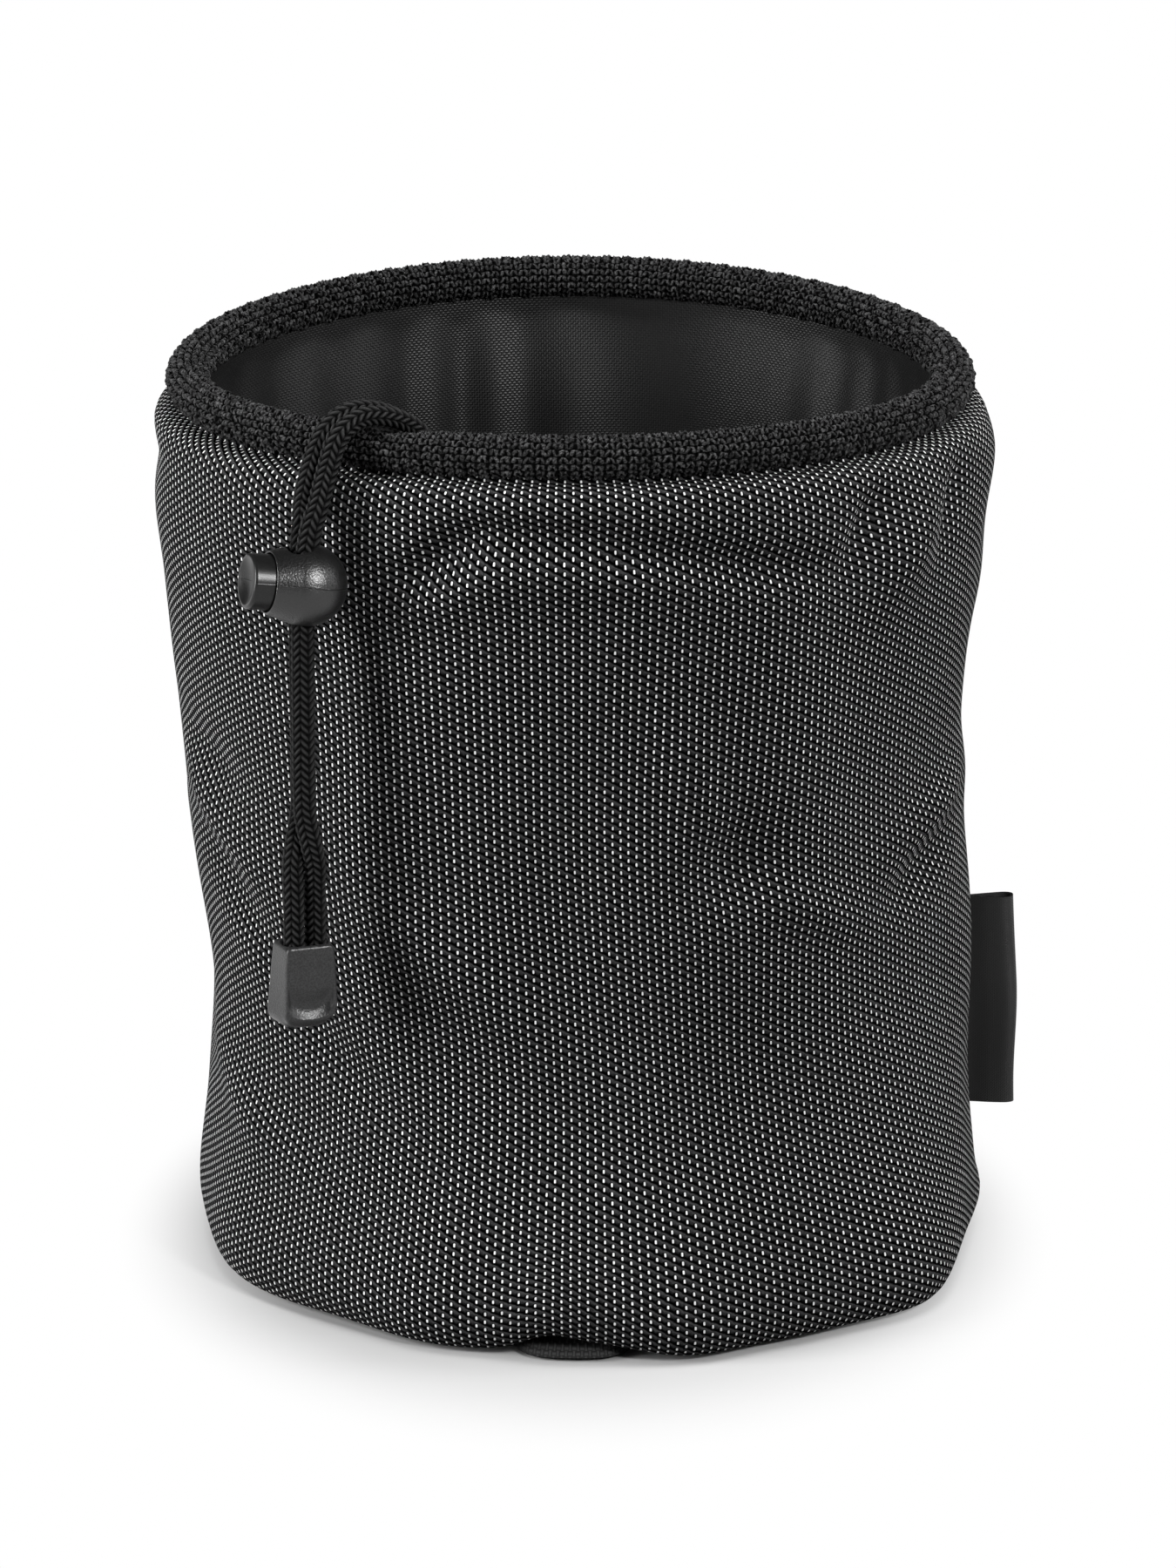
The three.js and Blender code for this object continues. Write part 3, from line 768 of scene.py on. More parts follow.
def thickened(piece: Piece, thickness: float, offset: float = -1.0) -> None:
    """Gives a single sheet its thickness.

    Args:
        piece: The sheet.
        thickness: In millimetres.
        offset: -1 to grow behind its face, 0 to grow both ways.
    """
    settings = {"thickness": thickness * MM, "offset": offset, "use_even_offset": True, "use_rim": True}
    with_modifier(piece, "SOLIDIFY", settings)
    tidied(piece)


def carved(piece: Piece, cutters: Iterable[Piece]) -> None:
    """Cuts other meshes out of one, and removes them.

    Args:
        piece: The mesh to cut.
        cutters: The meshes to cut away.
    """
    for cutter in cutters:
        with_modifier(piece, "BOOLEAN", {"operation": "DIFFERENCE", "solver": "EXACT", "object": cutter})
        bpy.data.objects.remove(cutter)


def moulded(piece: Piece, voxel: float, passes: int) -> None:
    """Rounds a moulding's edges over: it is remeshed to a face size in millimetres and smoothed."""
    with_modifier(piece, "REMESH", {"mode": "VOXEL", "voxel_size": voxel})
    with_modifier(piece, "SMOOTH", {"factor": 0.5, "iterations": passes})


def raw_piece(
    name: str,
    points: Sequence[Sequence[float]],
    faces: Sequence[Sequence[int]],
    merge: float = 1e-5,
) -> Piece:
    """Makes a mesh object from points and faces as they are.

    Args:
        name: The piece's name.
        points: The points, in millimetres.
        faces: Point numbers of each face.
        merge: The distance under which points are one.

    Returns:
        The object, linked to the scene, with its faces turned outwards.
    """
    mesh = bpy.data.meshes.new(name)
    mesh.from_pydata([tuple(point) for point in points], [], [tuple(face) for face in faces])
    work = bmesh.new()
    work.from_mesh(mesh)
    bmesh.ops.remove_doubles(work, verts=work.verts[:], dist=merge)
    bmesh.ops.recalc_face_normals(work, faces=work.faces[:])
    work.to_mesh(mesh)
    work.free()
    piece = bpy.data.objects.new(name, mesh)
    bpy.context.scene.collection.objects.link(piece)
    return piece


def lofted(name: str, rings: Sequence[Array]) -> Piece:
    """Makes a closed mesh through rings of points, with flat ends.

    Args:
        name: The piece's name.
        rings: Closed rings with as many points each.

    Returns:
        The object.
    """
    count = len(rings[0])
    points = np.vstack(rings)
    faces = []
    for ring in range(len(rings) - 1):
        for i in range(count):
            here, after = ring * count + i, ring * count + (i + 1) % count
            faces.append((here, after, after + count, here + count))
    faces.append(tuple(range(count))[::-1])
    faces.append(tuple(range((len(rings) - 1) * count, len(rings) * count)))
    return raw_piece(name, points, faces)


def turned_on_x(name: str, profile: Sequence[Sequence[float]], steps: int) -> Piece:
    """Turns a profile about the X axis.

    Args:
        name: The piece's name.
        profile: Places on the axis and radii, from axis to axis.
        steps: The steps round the axis.

    Returns:
        The object.
    """
    angles = np.linspace(0, math.tau, steps, endpoint=False)
    rings = [
        np.stack([np.full(steps, x), radius * np.cos(angles), radius * np.sin(angles)], axis=1)
        for x, radius in profile[1:-1]
    ]
    return lofted(name, rings)


def slot_ring(low: float, high: float, half: float, corner: float, height: float) -> Array:
    """Draws a rounded rectangle at a height.

    Args:
        low: The lower end in X.
        high: The upper end in X.
        half: Half its size in Y.
        corner: The corners' radius.
        height: Where it lies in Z.

    Returns:
        The ring's points.
    """
    points = []
    centres = [(high - corner, half - corner, 0), (low + corner, half - corner, 90)]
    centres += [(low + corner, corner - half, 180), (high - corner, corner - half, 270)]
    for x, y, start in centres:
        for angle in np.radians(np.linspace(start, start + 90, CORNER_STEPS)):
            points.append((x + corner * math.cos(angle), y + corner * math.sin(angle), height))
    return np.array(points)


def local_map(piece: Piece) -> None:
    """Keeps each point's own height and place on X, in millimetres, in the piece's weave map."""
    mesh = piece.data
    places = np.empty(len(mesh.vertices) * 3, np.float32)
    mesh.vertices.foreach_get("co", places)
    corners = np.empty(len(mesh.loops), np.int32)
    mesh.loops.foreach_get("vertex_index", corners)
    chart = places.reshape(-1, 3)[corners][:, [2, 0]]
    mesh.uv_layers.new(name=WEAVE_MAP).data.foreach_set("uv", chart.ravel())


def placed(piece: Piece, place: Matrix) -> None:
    """Moves a mesh made in millimetres to its place in the bag's frame, in metres."""
    piece.data.transform(Matrix.Scale(MM, 4) @ place)


def settled_in(
    piece: Piece, body: Body | None, nodes: Sequence[str] = ()
) -> None:
    """Ties a piece to its body, hides the solids that it stands for, and reports it.

    Args:
        piece: The finished piece.
        body: The body that it rides on, or None to leave it unattached.
        nodes: The solids that it stands for.
    """
    if body is not None:
        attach(piece, body.value)
    if nodes:
        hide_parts(*nodes)
    LOG.info("%s: %d faces", piece.name, len(piece.data.polygons))


@dataclass(frozen=True)
class BagForm:
    """The sizes that the cloth pieces share, in millimetres, and the way the soft bag settles."""

    height: float = 200.0
    body_radius: float = 85.0
    lean: float = 3.0
    droop: float = 2.5
    bulge: float = 7.0
    bulge_azimuth: float = 22.0
    rim_ring: float = 82.5
    rim_height: float = 195.2
    tube_radius: float = 4.8
    edge_top: float = 191.4
    wall_edge: float = 83.75
    collar_edge: float = 82.05
    seam_edge: float = 74.6
    seam_height: float = 10.0
    hem_ring: float = 75.65
    hem_height: float = 119.2
    cord_radius: float = 2.3
    cord_azimuth: float = -21.7
    bulge_facing: Span = (0.4, 0.95)
    bulge_band: Span = (0.04, 0.36)
    lean_band: Span = (0.22, 0.6)
    droop_from: float = 0.55

    def around(self, azimuth: Array | float, radius: Array | float, height: Array | float) -> Array:
        """Gives points from azimuth (0 at the front, +90 at the label), distance from the axis and height."""
        turn = np.radians(azimuth)
        x, y, z = np.broadcast_arrays(radius * np.sin(turn), -radius * np.cos(turn), height)
        return np.stack([x, y, z], axis=-1).astype(float)

    def settle(self, points: Array) -> Array:
        """Moves points the way the bag settles: it bulges low in front, leans left and droops at both sides.

        Args:
            points: Points in millimetres.

        Returns:
            The settled points.
        """
        x, y, z = points[..., 0], points[..., 1], points[..., 2]
        turn = np.arctan2(x, -y)
        facing = eased(np.cos(turn - math.radians(self.bulge_azimuth)), *self.bulge_facing)
        low = 1.0 - eased(z, *(self.height * share for share in self.bulge_band))
        standing = eased(np.hypot(x, y), self.seam_edge + 2.0, self.body_radius - 1.0)
        push = self.bulge * facing * low * standing
        upper = eased(z, *(self.height * share for share in self.lean_band))
        leaning = x + push * np.sin(turn) - self.lean * upper
        high = eased(z, self.height * self.droop_from, self.rim_height)
        drooping = z - self.droop * np.sin(turn) ** 2 * high
        return np.stack([leaning, y - push * np.cos(turn), drooping], axis=-1)


@dataclass(frozen=True)
class Fold:
    """A soft dent or ridge in the side cloth."""

    azimuth: float
    height: float
    across: float
    along: float
    depth: float
    tilt: float = 90.0

    def push(self, azimuth: Array, height: Array, radius: float) -> Array:
        """Gives how far the fold moves the cloth outwards at each place.

        Args:
            azimuth: Azimuths in degrees.
            height: Heights in millimetres.
            radius: The radius that turns degrees into lengths.

        Returns:
            Distances in millimetres.
        """
        side = np.radians(turn_between(azimuth, self.azimuth)) * radius
        rise = height - self.height
        turn = math.radians(self.tilt)
        length = (side * math.cos(turn) + rise * math.sin(turn)) / self.along
        width = (rise * math.cos(turn) - side * math.sin(turn)) / self.across
        return self.depth * np.exp(-(length * length) - width * width)


@dataclass
class SidePanel:
    """The side cloth: one strip sewn into a tub, sagging between the rim and the base.

    Attributes:
        ripples: Small waves: size, count round the bag, slant, start, and rate and start up the wall.
        folds: The soft dents and ridges.
        flares: Where the foot stands out: azimuth, reach in degrees and depth.
        lifts: Where the foot stands off the ground: azimuth, reach in degrees and height.
    """

    form: BagForm
    cloth: float = 1.4
    swell: float = 5.8
    face_step: float = 1.4
    back_step: float = 4.2
    seam_azimuth: float = 90.0
    seam_steps: tuple[float, ...] = (0.0, 0.45, 0.9, 1.4, 2.1)
    columns: int = 296
    tick_columns: float = 317.4
    tick_row: float = 1.80
    fold_gain: float = 2.3
    ripples: tuple[tuple[float, ...], ...] = (
        (0.28, 9, 0.045, 0.0, 0.071, 1.3),
        (0.20, 17, -0.06, 2.0, 0.043, 0.4),
    )
    seam_dip: Span = (0.9, 0.9)
    seam_band: Span = (2, 12)
    flare_band: Span = (3, 46)
    lift_band: Span = (2, 34)
    hold_band: Span = (180, 189.5)
    standing_band: Span = (76, 83)
    edge_band: Span = (75, 77.5)
    slit_corner: float = 0.2
    folds: tuple[Fold, ...] = (
        Fold(-17, 175, 4, 10, -2.0, 36),
        Fold(-5, 180, 4, 14, -1.6, -3),
        Fold(11, 176, 4, 15, -1.4, -8),
        Fold(-15, 167, 5, 14, 0.8, 24),
        Fold(3, 171, 5, 20, 0.8, 0),
        Fold(26, 172, 4, 14, -1.4, -8),
        Fold(43, 177, 4, 12, -1.5, 62),
        Fold(52, 170, 7, 13, 1.4, 60),
        Fold(64, 178, 4, 12, -1.0, 70),
        Fold(-28, 110, 14, 55, 1.3, 84),
        Fold(2, 95, 20, 60, -1.6, 92),
        Fold(34, 120, 13, 45, 1.0, 96),
        Fold(-15, 80, 7, 28, 0.9, -40),
        Fold(21, 52, 20, 30, -1.2, 90),
        Fold(24, 106, 8, 10, -1.7, 40),
        Fold(17, 128, 5, 20, 0.8, 105),
        Fold(38, 92, 5, 18, 0.9, 160),
        Fold(-66, 118, 5, 16, -0.9, -10),
        Fold(-65, 105, 6, 14, 1.0, -30),
        Fold(-60, 90, 7, 15, -1.3, -37),
        Fold(-55, 77, 6, 16, 0.8, -37),
        Fold(-85, 58, 26, 30, -1.1, 90),
        Fold(-58, 40, 7, 24, 1.0, -25),
        Fold(-40, 62, 6, 26, -0.9, -35),
        Fold(62, 93, 5, 16, -1.5, 15),
        Fold(66, 106, 5, 16, 1.2, 12),
        Fold(84, 72, 22, 26, 0.8, 90),
        Fold(92, 6, 5, 20, 0.7, 0),
        Fold(-92, 182, 26, 9, -1.1, 90),
        Fold(94, 179, 22, 8, 0.6, 90),
        Fold(90, 150, 22, 10, 0.5, 90),
        Fold(92, 106, 22, 9, 0.7, 90),
        Fold(100, 140, 8, 30, -1.8, 70),
        Fold(122, 170, 5, 16, -1.4, 50),
        Fold(140, 120, 14, 50, 1.3, 96),
        Fold(165, 95, 18, 55, -1.7, 85),
        Fold(188, 172, 5, 20, -1.2, 10),
        Fold(196, 130, 12, 45, 1.2, 100),
        Fold(222, 80, 7, 28, -1.5, 30),
        Fold(236, 150, 6, 24, -1.3, 140),
        Fold(250, 100, 7, 20, 1.2, 165),
    )
    flares: tuple[tuple[float, float, float], ...] = (
        (-54, 15, 4.8),
        (-38, 8, 1.6),
        (-23, 10, 2.4),
        (-4, 7, 2.0),
        (13, 9, 4.4),
        (30, 9, 2.0),
        (50, 11, 5.0),
        (92, 16, 1.0),
        (128, 12, 3.0),
        (165, 14, 3.5),
        (205, 12, 2.5),
        (243, 13, 3.0),
    )
    lifts: tuple[tuple[float, float, float], ...] = (
        (-5, 5, 3.4),
        (2, 8, 2.6),
        (-38, 6, 0.4),
        (112, 8, 2.6),
        (147, 7, 3.0),
        (186, 8, 2.4),
        (224, 8, 2.8),
        (276, 9, 2.2),
    )

    def face(self) -> Array:
        """Draws the outer face as radius and height, from the base seam to the edge in the rim."""
        form = self.form
        seam = form.seam_edge + 0.3
        body, rim, edge, top = form.body_radius, form.rim_height, form.wall_edge, form.edge_top
        swell = self.swell
        return rounded_line(
            [
                (seam, form.seam_height),
                (seam, 2.6),
                (seam + 2.2, 0.4),
                (body - 5, 0.2),
                (body - 1.6, 2.0),
                (body + 0.4, 6.2),
                (body + 0.8, 11),
                (body - 0.2, rim * 0.16),
                (body - 0.8, rim * 0.31),
                (body - 0.2, rim * 0.46),
                (body + 0.4, rim * 0.61),
                (body + swell * 0.55, rim * 0.77),
                (body + swell * 0.9, rim * 0.86),
                (body + swell, rim - 15),
                (body + swell - 0.4, rim - 9.8),
                (body + swell - 1.7, rim - 6.5),
                (edge + 2, top - 1.3),
                (edge + 0.1, top - 1.0),
                (edge, top),
            ],
            self.face_step,
        )

    def radius_at(self, height: Array) -> Array:
        """Gives the outer radius of the standing cloth at each height."""
        face = self.face()
        inmost, lowest = self.form.body_radius - 1.8, 1.0
        standing = face[(face[:, 0] > inmost) & (face[:, 1] > lowest)]
        return np.interp(height, standing[:, 1], standing[:, 0])

    def push(self, azimuth: Array, height: Array) -> Array:
        """Gives how far folds, flares and small unevenness move the cloth outwards.

        Args:
            azimuth: Azimuths in degrees.
            height: Heights in millimetres.

        Returns:
            Distances in millimetres.
        """
        radius = self.form.body_radius
        moved = self.fold_gain * sum(fold.push(azimuth, height, radius) for fold in self.folds)
        turn = np.radians(azimuth)
        for size, count, slant, start, rate, foot in self.ripples:
            wave = size * np.sin(count * turn + slant * height + start)
            moved = moved + wave * np.sin(rate * height + foot)
        low = 1.0 - eased(height, *self.flare_band)
        for middle, reach, depth in self.flares:
            moved = moved + depth * low * hump(azimuth, middle, reach)
        seam = np.radians(turn_between(azimuth, self.seam_azimuth)) * radius
        dip, half = self.seam_dip
        moved = moved - dip * np.exp(-((seam / half) ** 2)) * eased(height, *self.seam_band)
        return moved * (1.0 - eased(height, *self.hold_band))

    def lift(self, azimuth: Array) -> Array:
        """Gives how far the bottom edge stands off the ground at each azimuth."""
        return sum(rise * hump(azimuth, middle, reach) for middle, reach, rise in self.lifts)

    def shaped(self, azimuth: Array, line: Array) -> Array:
        """Sweeps a line round the axis and lets it fold and settle.

        Args:
            azimuth: The columns' azimuths.
            line: Radius and height of each row.

        Returns:
            The points by rows and columns.
        """
        radius, height = line[:, :1], line[:, 1:]
        turn = azimuth[None, :]
        moved = radius + self.push(turn, height) * eased(radius, *self.standing_band)
        fading = 1.0 - eased(height, *self.lift_band)
        raised = height + self.lift(turn) * fading * eased(radius, *self.edge_band)
        return self.form.settle(self.form.around(turn, moved, raised))

    def azimuths(self) -> Array:
        """Gives the columns' azimuths, closer together by the seam."""
        close = np.degrees(np.array(self.seam_steps) / self.form.body_radius)
        even = np.linspace(close[-1], 360.0 - close[-1], self.columns + 1)[1:-1]
        return self.seam_azimuth + np.concatenate([close, even, 360.0 - close[:0:-1]])

    def build(
        self, finishes: Sequence[Material], label_box: tuple[Array, Array]
    ) -> Piece:
        """Makes the side cloth.

        Args:
            finishes: The outer face and the reverse.
            label_box: The lowest and highest corners of the slit that the label goes through.

        Returns:
            The piece.
        """
        face = self.face()
        back = resampled(left_of(face, self.cloth), self.back_step)[::-1]
        line = np.vstack([face, back])
        azimuth = self.azimuths()
        across = np.append(azimuth, self.seam_azimuth + 360.0) - self.seam_azimuth
        along = np.concatenate([lengths_along(face), lengths_along(back)[::-1], [0.0]])
        weave = weave_chart(along / self.tick_row, across / 360.0 * self.tick_columns)
        finish = np.where(np.arange(len(line)) < len(face) - 1, 0, 1)
        patch = Patch(self.shaped(azimuth, line), weave, True, True, finish)
        piece = mesh_piece("side_cloth", [patch], finishes)
        low, high = label_box
        ring = slot_ring(low[0], high[0], high[1], self.slit_corner, low[2])
        slit = lofted("slit", [ring, ring + [0.0, 0.0, high[2] - low[2]]])
        placed(slit, Matrix.Identity(4))
        carved(piece, [slit])
        piece.data.shade_smooth()
        piece.data.set_sharp_from_angle(angle=math.radians(SHARP_ANGLE))
        settled_in(piece, Body.BAG, ["side_panel"])
        return piece


@dataclass
class BasePanel:
    """The round base cloth, which turns up into the bound seam."""

    form: BagForm
    cloth: float = 1.4
    step: float = 0.6
    flat: float = 40.0
    turn_up: float = 2.4
    half_steps: int = 46
    thread: float = 0.9
    tongue: float = 17.2
    tongue_azimuth: float = -1.5
    tongue_reach: float = 10.5
    tongue_from: float = 55.0
    tongue_top: Span = (2.2, 4.4)
    sag: float = 0.5
    sag_waves: Span = (5, 0.7)
    sag_rise: Span = (20, 60)
    sag_fall: Span = (60, 72)

    def build(self, finish: Material) -> Piece:
        """Makes the base cloth.

        Args:
            finish: Its material.

        Returns:
            The piece.
        """
        edge, seam = self.form.seam_edge, self.form.seam_height
        turned = self.turn_up
        corner = [(edge - turned, 0), (edge - 0.7, 0.7), (edge, turned)]
        line = rounded_line([(0, 0), (self.flat, 0), *corner, (edge, seam)], self.step)
        reach = lengths_along(line)
        steps = np.linspace(-1, 1, 2 * self.half_steps + 1)
        along, across = np.meshgrid(steps, steps, indexing="ij")
        ring = np.maximum(abs(along), abs(across))
        upright = abs(along) >= abs(across)
        lead = np.where(upright, along, across)
        lean = np.where(upright, across, along)
        skew = np.pi / 4 * np.divide(lean, lead, out=np.zeros_like(lean), where=lead != 0)
        turn = np.where(upright, skew, np.pi / 2 - skew) + np.where(lead < 0, np.pi, 0.0)
        radius = np.interp(ring * reach[-1], reach, line[:, 0])
        height = np.interp(ring * reach[-1], reach, line[:, 1])
        azimuth = np.degrees(np.pi - turn)
        out = self.tongue * np.exp(-((turn_between(azimuth, self.tongue_azimuth) / self.tongue_reach) ** 4))
        pulled = eased(radius, self.tongue_from, edge - 1.5) * (1 - eased(height, *self.tongue_top))
        radius = radius + out * pulled
        count, start = self.sag_waves
        sagging = eased(radius, *self.sag_rise) * (1 - eased(radius, *self.sag_fall))
        sag = self.sag * np.sin(count * turn + start) * sagging
        points = np.stack([radius * np.sin(turn), radius * np.cos(turn), height + abs(sag)], axis=-1)
        weave = np.stack([across, along], axis=-1) * reach[-1] / self.thread
        piece = mesh_piece("base_cloth", [Patch(points, weave)], [finish])
        work = bmesh.new()
        work.from_mesh(piece.data)
        bmesh.ops.recalc_face_normals(work, faces=work.faces[:])
        lowest = min(work.faces, key=lambda face: face.calc_center_median().length)
        if lowest.normal.z > 0:
            bmesh.ops.reverse_faces(work, faces=work.faces[:])
        work.to_mesh(piece.data)
        work.free()
        thickened(piece, self.cloth)
        settled_in(piece, Body.BAG, ["base_panel"])
        return piece


@dataclass
class Stitching:
    """A row of lock stitches laid along a line."""

    pitch: float = 3.0
    length: float = 2.3
    thread: float = 0.24
    dive: float = 1.1
    steps: int = 7
    sides: int = 8
    finish: Material | None = None

    def build(self, name: str, line: Array, outward: Array) -> Piece:
        """Makes a row of stitches.

        Args:
            name: The piece's name.
            line: Points along the row, in millimetres.
            outward: The direction out of the cloth at each point.

        Returns:
            The piece.
        """
        along = lengths_along(line)
        middles = np.arange(self.pitch / 2, along[-1] - self.pitch / 2, self.pitch)
        share = np.linspace(-0.5, 0.5, self.steps)
        turns = np.linspace(0, math.tau, self.sides, endpoint=False)
        patches = []
        for middle in middles:
            reach = middle + share * self.length
            core = np.stack([np.interp(reach, along, line[:, axis]) for axis in range(3)], axis=1)
            out = np.stack([np.interp(reach, along, outward[:, axis]) for axis in range(3)], axis=1)
            out /= np.linalg.norm(out, axis=1, keepdims=True)
            way = core[-1] - core[0]
            way /= np.linalg.norm(way)
            side = np.cross(out, way)
            girth = self.thread * np.sqrt(np.clip(1.0 - (2 * share * 0.98) ** 4, 0.0, 1.0))
            sunk = core + out * self.thread * (0.5 - self.dive * (2 * share[:, None]) ** 4)
            points = (
                sunk[:, None, :]
                + girth[:, None, None] * np.cos(turns)[None, :, None] * side[:, None, :]
                + girth[:, None, None] * np.sin(turns)[None, :, None] * out[:, None, :]
            )
            weave = weave_chart(share * 4, np.linspace(0, 4, self.sides + 1))
            patches.append(Patch(points, weave, closed_columns=True))
        return mesh_piece(name, patches, [self.finish])


@dataclass
class SeamTapes:
    """The tape that binds the base seam and the tape behind the side seam, with their stitches."""

    form: BagForm
    panel: SidePanel
    tape: float = 0.8
    rib: float = 0.7
    seam_radius: float = 74.7
    binding_inner: float = 72.5
    binding_outer: float = 77.0
    binding_low: float = 5.0
    binding_top: float = 10.7
    fold_corner: float = 0.6
    pucker: Span = (0.12, 60)
    degree_length: float = 1.3
    base_row: Span = (72.02, 7.4)
    tape_width: float = 14.0
    tape_low: float = 15.0
    tape_high: float = 184.2
    tape_depth: float = 3.6
    seam_aside: float = 1.6
    row_low: float = 18.0
    row_high: float = 181.0
    row_depth: float = 4.08
    row_half: float = 4.6

    def base_binding(self, finish: Material) -> Piece:
        """Makes the binding over the upturned edges of the side and base cloths.

        Args:
            finish: The tape's material.

        Returns:
            The piece.
        """
        inner, outer, low, top = self.binding_inner, self.binding_outer, self.binding_low, self.binding_top
        corner = self.fold_corner
        rising = [(inner, low), (inner, top - corner), (inner + corner, top)]
        falling = [(outer - corner, top), (outer, top - corner), (outer, low)]
        line = rounded_line(rising + falling, corner)
        along = lengths_along(line)
        azimuth = np.linspace(0, 360, 360, endpoint=False)
        depth, count = self.pucker
        pucker = depth * np.sin(np.radians(azimuth) * count)[None, :]
        swell = np.where(line[:, :1] < self.seam_radius, -pucker, pucker)
        radius = line[:, :1] + swell * eased(line[:, 1:], 12, 6)
        points = self.form.settle(self.form.around(azimuth[None, :], radius, line[:, 1:]))
        across = np.linspace(0, 360, 361) * self.degree_length
        patch = Patch(points, weave_chart(along / self.rib, across / self.rib), closed_columns=True)
        piece = mesh_piece("base_seam_tape", [patch], [finish])
        thickened(piece, self.tape, 0.0)
        settled_in(piece, Body.BAG, ["base_seam_binding"])
        return piece

    def behind_seam(self, height: Array, depth: float) -> Array:
        """Gives how far from the axis a place behind the side seam is, in millimetres."""
        beside = self.panel.push(self.panel.seam_azimuth + self.seam_aside, height)
        return self.panel.radius_at(height) - depth + np.minimum(beside, 0.0)

    def side_tape(self, finish: Material) -> Piece:
        """Makes the tape that covers the side seam inside.

        Args:
            finish: The tape's material.

        Returns:
            The piece.
        """
        height = np.linspace(self.tape_low, self.tape_high, 110)
        across = np.linspace(-0.5, 0.5, 13) * self.tape_width
        x, y = np.meshgrid(self.behind_seam(height, self.tape_depth), across, indexing="ij")
        wavy = 0.12 * np.sin(height / 2.1)[:, None] * (abs(across)[None, :] / self.tape_width)
        z = np.repeat(height[:, None], len(across), axis=1)
        points = self.form.settle(np.stack([x + wavy, y, z], axis=-1))
        patch = Patch(points, weave_chart(height / self.rib, across / self.rib))
        piece = mesh_piece("side_seam_cover", [patch], [finish])
        thickened(piece, self.tape, 0.0)
        settled_in(piece, Body.BAG, ["side_seam_tape"])
        return piece

    def stitches(self, finish: Material) -> None:
        """Makes the rows of stitches on both tapes.

        Args:
            finish: The thread's material.
        """
        sewing = Stitching(finish=finish)
        azimuth = np.linspace(0, 360, 400)
        line = self.form.around(azimuth, *self.base_row)
        row = sewing.build("base_seam_stitches", line, -self.form.around(azimuth, 1.0, 0.0))
        settled_in(row, Body.BAG)
        height = np.linspace(self.row_low, self.row_high, 200)
        depth = self.behind_seam(height, self.row_depth)
        for name, side in (("front", -self.row_half), ("back", self.row_half)):
            line = self.form.settle(np.stack([depth, np.full_like(depth, side), height], axis=-1))
            inward = np.tile([-1.0, 0.0, 0.0], (len(line), 1))
            settled_in(sewing.build(f"side_seam_stitches_{name}", line, inward), Body.BAG)


@dataclass
class Rim:
    """The rim: a coarse mesh bound over a stiff hoop."""

    form: BagForm
    slot_width: float = 3.1
    binding: float = 1.2
    binding_width: float = 30.0
    loops: int = 228
    rows: int = 15
    loop_columns: int = 6
    row_steps: int = 4
    lining_steps: int = 8
    loop_height: float = 0.85
    loop_sunk: float = 0.8
    leg_half: float = 0.21
    sway: float = 0.09
    every_other: float = 0.25
    cord_dent: float = 1.3
    dent_azimuth: Span = (-27.0, 5.5)
    dent_turn: Span = (105.0, 50.0)

    def relief(self, along: Array, across: Array) -> Array:
        """Gives how far the knit stands out of the tube.

        Args:
            along: The row of loops, counted from 0, at each row of points.
            across: The loop, counted from 0, at each column of points.

        Returns:
            Heights in millimetres, by rows and columns.
        """
        row = np.minimum(np.floor(along), self.rows - 1)[:, None]
        column = np.floor(across)[None, :]
        rise = along[:, None] - row
        aside = across[None, :] % 1.0 - 0.5
        sway = self.sway * np.sin(2.3 * row + 1.7 * column)
        leg = np.exp(-(((abs(aside + sway) - LEG_FOOT + LEG_LEAN * rise) / self.leg_half) ** 2))
        number = np.floor(across[None, :] * 2) + 78.233 * row
        uneven = 0.75 + 0.35 * np.sin(12.9898 * number) ** 2
        loop = leg * np.sqrt(np.sin(np.pi * rise).clip(0, 1)) * uneven
        lower = np.where(column % 2 == 0, 0.0, self.every_other)
        return self.loop_height * (loop - self.loop_sunk - lower)

    def build(self, finish: Material, hoop: Material) -> Piece:
        """Makes the bound mesh and dresses the hoop in it.

        Args:
            finish: The mesh's material.
            hoop: The hoop's material.

        Returns:
            The mesh's piece.
        """
        form = self.form
        tube = form.tube_radius
        slot = math.degrees(math.asin(self.slot_width / 2 / tube))
        turn = np.linspace(slot - 90, 270 - slot, self.rows * self.row_steps + 1)
        back = np.linspace(270 - slot * 1.3, slot * 1.3 - 90, self.lining_steps)
        columns = self.loops * self.loop_columns
        azimuth = np.linspace(0, 360, columns, endpoint=False)
        across = np.linspace(0, self.loops, columns + 1)
        along = np.linspace(0, self.rows, len(turn))
        middle, reach = self.dent_turn
        upper = np.exp(-(((turn - middle) / reach) ** 2))[:, None]
        pressed = hump(azimuth, *self.dent_azimuth)[None, :] * self.cord_dent
        outside = tube + self.relief(along, across[:-1]) - pressed * upper
        inside = np.full((len(back), columns), tube - self.binding)
        radius = np.vstack([outside, inside])
        around = np.radians(np.concatenate([turn, back]))[:, None]
        ring = form.rim_ring + radius * np.cos(around)
        height = form.rim_height + radius * np.sin(around)
        points = form.settle(form.around(azimuth[None, :], ring, height))
        lining = np.linspace(self.rows, self.rows + 3, len(back))
        rows = np.concatenate([along, lining, [self.rows + 3.5]])
        patch = Patch(points, weave_chart(rows, across), closed_rows=True, closed_columns=True)
        piece = mesh_piece("rim_mesh_binding", [patch], [finish])
        settled_in(piece, Body.BAG, ["rim_cover"])
        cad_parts["rim_hoop"].data.materials.clear()
        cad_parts["rim_hoop"].data.materials.append(hoop)
        return piece


